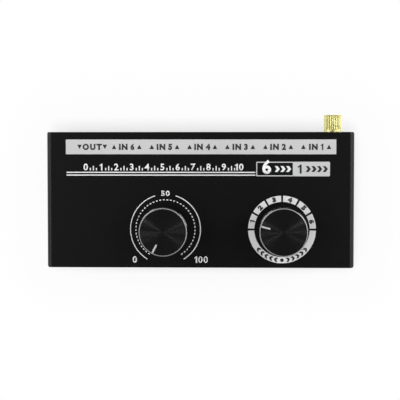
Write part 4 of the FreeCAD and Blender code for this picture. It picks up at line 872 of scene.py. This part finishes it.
def build_ground():
    base, tip = NUT_LOW.y / MM, NUT_HIGH.y / MM
    radius, hole, dish, flutes = 4.0, 2.05, 0.14, 28
    outline = profile(
        (0, tip - 1.2), (hole, tip - 1.2), (hole, base), (radius, base, 0.2),
        (radius, tip - 0.62), (radius - 0.12, tip - 0.18), (radius - 0.3, tip),
        (radius - 0.52, tip), (radius - 0.62, tip - dish), (0.34, tip - dish), (0, tip - dish))
    nut = TURNED.make(
        "thumb_nut_raw", outline, Segments=flutes * 10, Flutes=flutes, Flute_Depth=0.24 * MM,
        Cut_From=(radius - 0.42) * MM, Cut_To=(radius - 0.1) * MM,
        Tilt=FACING_REAR, First=GROUND_AXIS)
    nut = smoothed(nut, 40 * DEGREE)
    nut.name = "thumb_nut"
    # The end face is brass painted far darker than the body: painted shade on the face that looks to the
    # rear, over real turning rings.
    face = turned_metal(
        "brass_turned_face", (0.20, 0.17, 0.09), (0.40, 0.35, 0.20), 0.28, 0.42, GROUND_AXIS, 1,
        0.5 * MM)
    rim = metal(
        "brass_end_rim", (0.66, 0.62, 0.42), (0.74, 0.70, 0.48), 0.36, 0.46, 0.12 * MM)
    dressed(nut, BRASS, face, rim, FLUTE_SHADE_BRASS)

    def out_from_axis(centre):
        return math.hypot(centre.x - GROUND_AXIS.x, centre.z - GROUND_AXIS.z) / MM

    end = (tip - 0.16) * MM
    # Painted shade: darker brass in the flute hollows and on the chamfer before the end.
    painted(nut, 3, lambda centre, normal: centre.y > (tip - 0.6) * MM or (
        2.5 < out_from_axis(centre) < radius - 0.1 and centre.y > (base + 0.3) * MM))
    painted(nut, 2, lambda centre, normal: centre.y > end)
    # Painted shade: the turned end face takes the darkened brass.
    painted(nut, 1, lambda centre, normal: centre.y > end and (
        0.3 < out_from_axis(centre) < radius - 0.6))
    placed(nut, "ground_nut", "plain_brass", "ground_thumb_nut")
    washer = brass_ring("clamp_ring", hole, 3.95, WASHER_LOW.y / MM, WASHER_HIGH.y / MM)
    placed(washer, "ground_clamp", "plain_brass", "ground_clamp_washer")
    pitch, width = 0.7 * MM, 2.0 * MM
    length = STUD_HIGH.y - STUD_LOW.y
    rings = round(length / pitch * 8)
    outline = [(width, 0, length * k / rings) for k in range(rings + 1)]
    rod = TURNED.make(
        "stud_thread", [(0, 0, 0), *outline, (0, 0, length)], Segments=48,
        Thread_Depth=0.3 * MM, Thread_Pitch=pitch, Cut_From=0.0, Cut_To=width,
        Tilt=FACING_REAR, First=(GROUND_AXIS.x, STUD_LOW.y, GROUND_AXIS.z))
    collar = brass_ring("stud_collar", 1.6, 3.85, WALL_FACE / MM, WASHER_LOW.y / MM)
    stud = joined("stud_with_collar", [smoothed(rod, 50 * DEGREE), collar])
    placed(dressed(stud, BRASS), "case", "plain_brass", "ground_stud")


def brass_ring(name, bore, radius, low, high):
    outline = profile(
        (bore, low), (radius, low, 0.12), (radius, high, 0.12), (bore, high), closed=True)
    ring = TURNED.make(name, outline, Segments=72, Tilt=FACING_REAR, First=GROUND_AXIS)
    return dressed(smoothed(ring), BRASS)


# Printed marks, drawn flat as seen: u to the right, v up, then laid on their panel

def printed(name, material, pieces, panel=ON_ROOF):
    mark = joined(name, pieces)
    mark.data.transform(panel)
    mark.data.update()
    placed(dressed(mark, material), "case", "black_coat")


def glyph(character, bold):
    """One character as a flat mesh of unit height that starts at zero, with its width."""
    if character == "1":
        mesh = mesh_of("glyph", [(u, v, 0) for u, v in ONE_SHAPE], [range(len(ONE_SHAPE))])
    else:
        curve = bpy.data.curves.new("glyph", "FONT")
        curve.body = character
        curve.offset = bold
        curve.resolution_u = 4
        source = linked("glyph", curve)
        mesh = shown_mesh(source)
        bpy.data.objects.remove(source)
        bpy.data.curves.remove(curve)
    left, foot = (min(p.co[i] for p in mesh.vertices) for i in (0, 1))
    size = 1 / (max(p.co.y for p in mesh.vertices) - foot)
    mesh.transform(Matrix.Scale(size, 4) @ Matrix.Translation((-left, -foot, 0)))
    return mesh, max(p.co.x for p in mesh.vertices)


def letters(text, cap, u, v, low=0.0, high=ONE_COAT, bold=0.03, wide=1.0, turn=0.0):
    """Bold characters of a given height, centred on u and v, as closed flat solids."""
    work = bmesh.new()
    reach = 0.0
    for character in text:
        if character == " ":
            reach += WORD_SPACE
            continue
        mesh, width = glyph(character, bold)
        mesh.transform(Matrix.Translation((reach, -0.5, 0)))
        work.from_mesh(mesh)
        bpy.data.meshes.remove(mesh)
        reach += width + LETTER_GAP
    bmesh.ops.translate(work, vec=(-(reach - LETTER_GAP) / 2, 0, 0), verts=work.verts)
    bmesh.ops.scale(work, vec=(cap * wide, cap, 1), verts=work.verts)
    work.transform(Matrix.Translation((u, v, low)) @ Matrix.Rotation(turn, 4, "Z"))
    bmesh.ops.remove_doubles(work, verts=work.verts, dist=DOUBLES)
    raised(work, work.faces[:], high - low)
    bmesh.ops.recalc_face_normals(work, faces=work.faces)
    return piece_of(work, "letters")


def rounded_outline(u0, u1, v0, v1, corners):
    """Round a rectangle from its lower left, with a rounding for each corner."""
    outline = []
    for i, radius in enumerate(corners):
        u = u0 + radius if i in (0, 3) else u1 - radius
        v = v0 + radius if i in (0, 1) else v1 - radius
        for k in range(9 if radius else 1):
            outline.append(circle_point(radius, (180 + 90 * i + 90 * k / 8) * DEGREE, u, v))
    return outline


def rectangle(u0, u1, v0, v1, low=0.0, high=ONE_COAT, corners=(0, 0, 0, 0)):
    return prism(rounded_outline(u0, u1, v0, v1, corners), low, high)


def outline_frame(u0, u1, v0, v1, line, radius):
    """A closed line of even width round a rectangle with rounded corners."""
    outer = rounded_outline(u0, u1, v0, v1, [radius] * 4)
    inner = rounded_outline(
        u0 + line, u1 - line, v0 + line, v1 - line, [max(radius - line, 0.15 * MM)] * 4)
    count = len(outer)
    points = [(u, v, w) for w in (0.0, ONE_COAT) for u, v in outer + inner]
    faces = []
    for i in range(count):
        j = (i + 1) % count
        for a, b in ((0, count), (count, 3 * count), (3 * count, 2 * count), (2 * count, 0)):
            faces.append((a + i, a + j, b + j, b + i))
    return closed_up(linked("frame", mesh_of("frame", points, faces)))


def drawn(points, size, u=0.0, v=0.0, side=1):
    """An outline at its size and place; with side -1 it is mirrored."""
    return [(u + side * a * size, v + b * size) for a, b in points]


def row(mark, count, u, v, pitch, low=0.0):
    return REPEATED.make(
        "row", mark=mark, Count=count, Start=(u, v, low), Step=(pitch, 0, 0))


def from_rear(distance):
    return REAR_EDGE - distance


def build_port_strip():
    u0, u1, near, far = STRIP
    bar = rectangle(u0, u1, from_rear(far), from_rear(near))
    printed("port_strip", GREY_INK, [bar])
    v = from_rear((near + far) / 2)
    count = POSITION_COUNT
    labels = [("OUT", STRIP_NAME_X)]
    labels += [("IN %d" % (count - i), STRIP_FIRST_X + i * STRIP_PITCH) for i in range(count)]
    names = [letters(name, STRIP_CAP, u, v, bold=0.06, **ON_COAT) for name, u in labels]
    for offset in (-WEDGE_OFFSET, WEDGE_OFFSET):
        wedge = prism(drawn(WEDGE, MM))
        names.append(row(wedge, count, STRIP_FIRST_X + offset, v, STRIP_PITCH, ONE_COAT))
        names.append(prism(drawn(WEDGE, -MM, STRIP_NAME_X + offset, v), **ON_COAT))
    printed("port_names", DARK_INK, names)


def build_scale():
    """Plain numbers with ticks between them, above two fine rules."""
    pitch = (SCALE_TO - SCALE_FROM) / SCALE_LAST
    foot = from_rear(SCALE_FOOT)
    whites = [
        letters(str(i), SCALE_CAP, SCALE_FROM + i * pitch, foot + SCALE_CAP / 2, bold=0.022)
        for i in range(SCALE_LAST + 1)]
    for share, height in TICKS:
        tick = rectangle(-TICK_WIDTH / 2, TICK_WIDTH / 2, 0.0, height)
        whites.append(row(tick, SCALE_LAST, SCALE_FROM + share * pitch, foot, pitch))
    for place in RULE_PLACES:
        v = from_rear(place)
        whites.append(rectangle(*RULES, v - RULE_WIDTH / 2, v + RULE_WIDTH / 2))
    printed("scale_and_rules", WHITE_INK, whites)


def chevrons(count, u, v, low=0.0, high=ONE_COAT):
    mark = prism(drawn(CHEVRON, CHEVRON_SIZE), high=high - low)
    return row(mark, count, u, v, CHEVRON_PITCH, low)


def build_badge():
    u0, u1, near, far = BADGE
    low, high = from_rear(far), from_rear(near)
    middle = (low + high) / 2
    left = outline_frame(u0, BADGE_SPLIT, low, high, BADGE_LINE, BADGE_CORNER)
    right = rectangle(BADGE_SPLIT, u1, low, high, corners=(0, BADGE_CORNER, BADGE_CORNER, 0))
    printed("badge_plate", GREY_INK, [left, right])
    whites = [
        letters("6", 6.2 * MM, u0 + 4.6 * MM, middle + 0.9 * MM, high=ONE_COAT + INK, bold=0.035),
        chevrons(3, u0 + 9.2 * MM, middle)]
    printed("badge_six", WHITE_INK, whites)
    darks = [
        letters("1", 4.0 * MM, BADGE_SPLIT + 2.6 * MM, middle, bold=0.035, **ON_COAT),
        chevrons(4, BADGE_SPLIT + 6.3 * MM, middle, **ON_COAT)]
    printed("badge_one", DARK_INK, darks)


def arcs(axis, inner, outer, start, sweep, count=1, step=0.0, segments=48):
    """Arc-shaped marks, each turned by a step more about the middle of a dial."""
    angles = [start + sweep * k / segments for k in range(segments + 1)]
    outline = [circle_point(outer, angle) for angle in angles]
    outline += [circle_point(inner, angle) for angle in reversed(angles)]
    mark = prism(outline, high=ONE_COAT)
    return REPEATED.make(
        "arcs", mark=mark, Count=count, Start=(axis.x, axis.y, 0.0), Turn=step)


def build_volume_dial():
    axis = VOLUME_AXIS
    half = VOLUME_ARC_WIDTH / 2
    top = 90 * DEGREE + VOLUME_ARC_TOP_GAP
    sweep = 270 * DEGREE - VOLUME_ARC_END - top
    step = -(2 * VOLUME_ARC_TOP_GAP + sweep)
    marks = [arcs(axis, VOLUME_ARC - half, VOLUME_ARC + half, top, sweep, 2, step)]
    half = DASH_WIDTH / 2
    pitch = (360 * DEGREE - 2 * DASH_END) / (DASH_COUNT - 0.45)
    marks.append(arcs(
        axis, DASH_ARC - half, DASH_ARC + half, DASH_END - 90 * DEGREE, pitch * 0.5, DASH_COUNT,
        pitch, 3))
    cap, foot = 2.9 * MM, from_rear(56.4 * MM)
    marks.append(letters("0", cap, -28.9 * MM, foot, bold=0.016))
    marks.append(letters("100", cap, 0.5 * MM, foot, bold=0.016))
    marks.append(letters("50", 2.35 * MM, axis.x, from_rear(27.1 * MM), wide=1.15, bold=0.022))
    printed("volume_dial", WHITE_INK, marks)


def build_selector_dial():
    axis = SELECTOR_AXIS
    gap = BAND_GAP / BAND_OUTER
    cells = [
        arcs(axis, BAND_INNER, BAND_OUTER, gap / 2, POSITION_STEP - gap, POSITION_COUNT,
             POSITION_STEP, 12),
        arcs(axis, BAND_INNER, BAND_OUTER, math.pi + gap / 2, math.pi - gap, segments=64)]
    # The band's ink is painted lighter to offset the knob's shade: painted light.
    printed("selector_band", BAND_INK_PAINTED_LIGHT, cells)
    middle = (BAND_INNER + BAND_OUTER) / 2
    marks = []
    for i in range(POSITION_COUNT):
        angle = math.pi - (i + 0.5) * POSITION_STEP
        marks.append(letters(
            str(i + 1), POSITION_CAP, *circle_point(middle, angle, axis.x, axis.y),
            turn=angle - math.pi / 2, bold=0.085, wide=1.22, **ON_COAT))
    for side in (-1, 1):
        arrow = prism(drawn(TURN_ARROW, TURN_ARROW_SIZE, v=-middle, side=side))
        marks.append(REPEATED.make(
            "turn_arrows", mark=arrow, Count=5, Start=(axis.x, axis.y, ONE_COAT),
            First_Turn=side * 11 * DEGREE, Turn=side * 9.5 * DEGREE))
    dot = [circle_point(DOT, k * 18 * DEGREE, axis.x, axis.y - middle) for k in range(20)]
    marks.append(prism(dot, **ON_COAT))
    printed("selector_numbers", DARK_INK, marks)


def build_rear_marks():
    whites = [
        outline_frame(u0, u1, FRAME_FOOT, FRAME_TOP, FRAME_LINE, FRAME_CORNER)
        for u0, u1 in FRAMES]
    divider = rectangle(-FRAME_LINE / 2, FRAME_LINE / 2, FRAME_BAR_TOP, FRAME_TOP - FRAME_LINE)
    first = -FIRST_JACK_X + JACK_PITCH / 2
    whites.append(row(divider, JACK_COUNT - 2, first, 0, JACK_PITCH))
    for i in range(JACK_COUNT - 1):
        u = -FIRST_JACK_X + i * JACK_PITCH + NUMBER_OFFSET
        whites.append(letters(str(i + 1), NUMBER_CAP, u, NUMBER_Z, bold=0.026))
    printed("rear_lines_and_numbers", WHITE_INK, whites, ON_REAR)
    edge = 0.1 * MM
    corner = FRAME_CORNER - edge
    bars = [
        rectangle(
            u0 + edge, u1 - edge, FRAME_FOOT + edge, FRAME_BAR_TOP, high=INK,
            corners=(corner, corner, 0, 0))
        for u0, u1 in FRAMES]
    # The bars' silver ink is painted darker than the roof's, as painted shade against the rear wall's
    # stronger light.
    printed("rear_bars", BAR_INK_PAINTED_DARKER, bars, ON_REAR)
    v = (FRAME_FOOT + FRAME_BAR_TOP) / 2
    names = [
        letters(name, 2.2 * MM, sum(ends) / 2, v, low=INK, high=2 * INK, bold=0.045)
        for name, ends in zip(("IN", "OUT"), FRAMES)]
    printed("rear_port_names", DARK_INK, names, ON_REAR)


def build_ground_mark():
    """Three bars that get shorter downwards, and a line up towards the nut."""
    u = -GROUND_AXIS.x
    half = GROUND_LINE / 2
    bars = [
        rectangle(u - width / 2, u + width / 2, v - half, v + half) for v, width in GROUND_BARS]
    foot = GROUND_BARS[0][0] + half
    bars.append(rectangle(u - half, u + half, foot, GROUND_AXIS.z - 3.0 * MM))
    printed("ground_mark", WHITE_INK, bars, ON_REAR)


# Nodes that keep their own shape

def dress_nodes():
    finishes = {
        BOARD: "lower_board upper_board",
        BRASS: "board_standoffs board_pillars ground_inner_nut",
        STEEL: "board_screws volume_washer volume_nut selector_washer selector_nut",
        PLATED: "link_pins volume_can volume_bushing detent_balls detent_springs "
                "volume_terminals selector_bushing",
        BLACK_PLASTIC: "link_pin_bases large_jack_bodies small_jack_bodies selector_cap "
                       "selector_base",
        # bronze parts inside, painted nearly black as painted shade
        SPRING_PAINTED_DARK: "large_jack_tip_springs large_jack_ring_springs small_jack_tip_springs "
                "small_jack_ring_springs volume_wipers selector_wipers ground_lug",
        CREAM_PLASTIC: "volume_knob_hub selector_knob_hub selector_rotor",
        GOLD: "selector_contacts selector_commons",
        ALUMINIUM: "volume_shaft selector_shaft",
        WAFER: "volume_wafers",
        COPPER: "ground_wire"}
    for material, names in finishes.items():
        for name in names.split():
            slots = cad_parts[name].data.materials
            for i in range(len(slots)):
                slots[i] = material


# Floor, light and camera

def build_floor():
    """Pale floor that keeps the shadow near the object and runs out into white."""
    corners = [(-6, -6, 0), (6, -6, 0), (6, 6, 0), (-6, 6, 0)]
    floor = linked("floor", mesh_of("floor", corners, [(0, 1, 2, 3)]))
    finish = Finish("pale_floor", Roughness=1.0, Specular_IOR_Level=0.0)
    finish.coloured(finish.noise(0.4), grey(0.62), grey(0.64))
    rays = finish.node("LightPath").outputs
    seen = rays["Is Camera Ray"]
    for label in ("Is Glossy Ray", "Is Transmission Ray"):
        seen = finish.calc("MAXIMUM", seen, rays[label])
    reach = FLOOR_WHITE[-1][0]
    away = finish.distance_outside(COVER_LOW, COVER_HIGH)
    stops = [(distance / reach, grey(level)) for distance, level in FLOOR_WHITE]
    white = finish.ramp(finish.to_range(away, 0.0, 1.0, 0.0, reach), *stops)
    mixed = finish.add(
        "MixShader", finish.times(seen, white), finish.shader.outputs[0],
        finish.add("Emission"))
    finish.feed(finish.outlet.inputs["Surface"], mixed)
    floor.data.materials.append(finish.material)


def build_world():
    """White from the horizon up, dark overhead, as in a studio with a dark ceiling."""
    world = bpy.data.worlds.new("studio")
    world.use_nodes = True
    bpy.context.scene.world = world
    sky = Nodes(world.node_tree)
    height = sky.parts(sky.node("TexCoord").outputs["Generated"])["Z"]
    colour = sky.ramp(height, *[(at, grey(level)) for at, level in SKY])
    background = sky.tree.nodes["Background"]
    sky.feed(background.inputs["Color"], colour)
    background.inputs["Strength"].default_value = 1.0


def build_lights():
    """Soft boxes of even brightness that face the object, each between two elevations."""
    for i, (*angles, level) in enumerate(SOFT_BOXES):
        azimuth, spread, low, high = (angle * DEGREE for angle in angles)
        middle = (low + high) / 2
        light = bpy.data.lights.new("soft_box_%d" % (i + 1), "AREA")
        light.shape = "RECTANGLE"
        light.size = 2 * BOX_DISTANCE * math.cos(middle) * math.tan(spread / 2)
        light.size_y = 2 * BOX_DISTANCE * math.tan((high - low) / 2)
        light.energy = level * math.pi * light.size * light.size_y
        box = linked(light.name, light)
        x, y = circle_point(math.cos(middle), math.pi / 2 - azimuth)
        out = Vector((x, y, math.sin(middle)))
        box.location = out * BOX_DISTANCE + BOX_AIM
        box.rotation_mode = "QUATERNION"
        box.rotation_quaternion = out.to_track_quat("Z", "Y")
        box.visible_camera = False


def build_camera():
    camera = linked("camera", bpy.data.cameras.new("camera"))
    camera.data.lens = CAMERA_LENS
    camera.location = CAMERA_OFFSET + Vector((0, 0, ROOF + CAMERA_ABOVE_ROOF))
    back = (camera.location - CAMERA_TARGET).normalized()
    right = Vector((0, 1, 0)).cross(back).normalized()
    camera.rotation_mode = "QUATERNION"
    camera.rotation_quaternion = Matrix(
        (right, back.cross(right), back)).transposed().to_quaternion()
    bpy.context.scene.camera = camera


build_camera()
build_floor()
build_world()
build_lights()
build_shell()
build_feet()
build_screws()
build_large_noses()
build_small_noses()
build_knob("volume", VOLUME_AXIS, 243 * DEGREE, "volume_control")
build_knob("selector", SELECTOR_AXIS, 165 * DEGREE, "selector_control")
build_ground()
build_port_strip()
build_scale()
build_badge()
build_volume_dial()
build_selector_dial()
build_rear_marks()
build_ground_mark()
dress_nodes()

bpy.context.scene.view_settings.view_transform = "Standard"
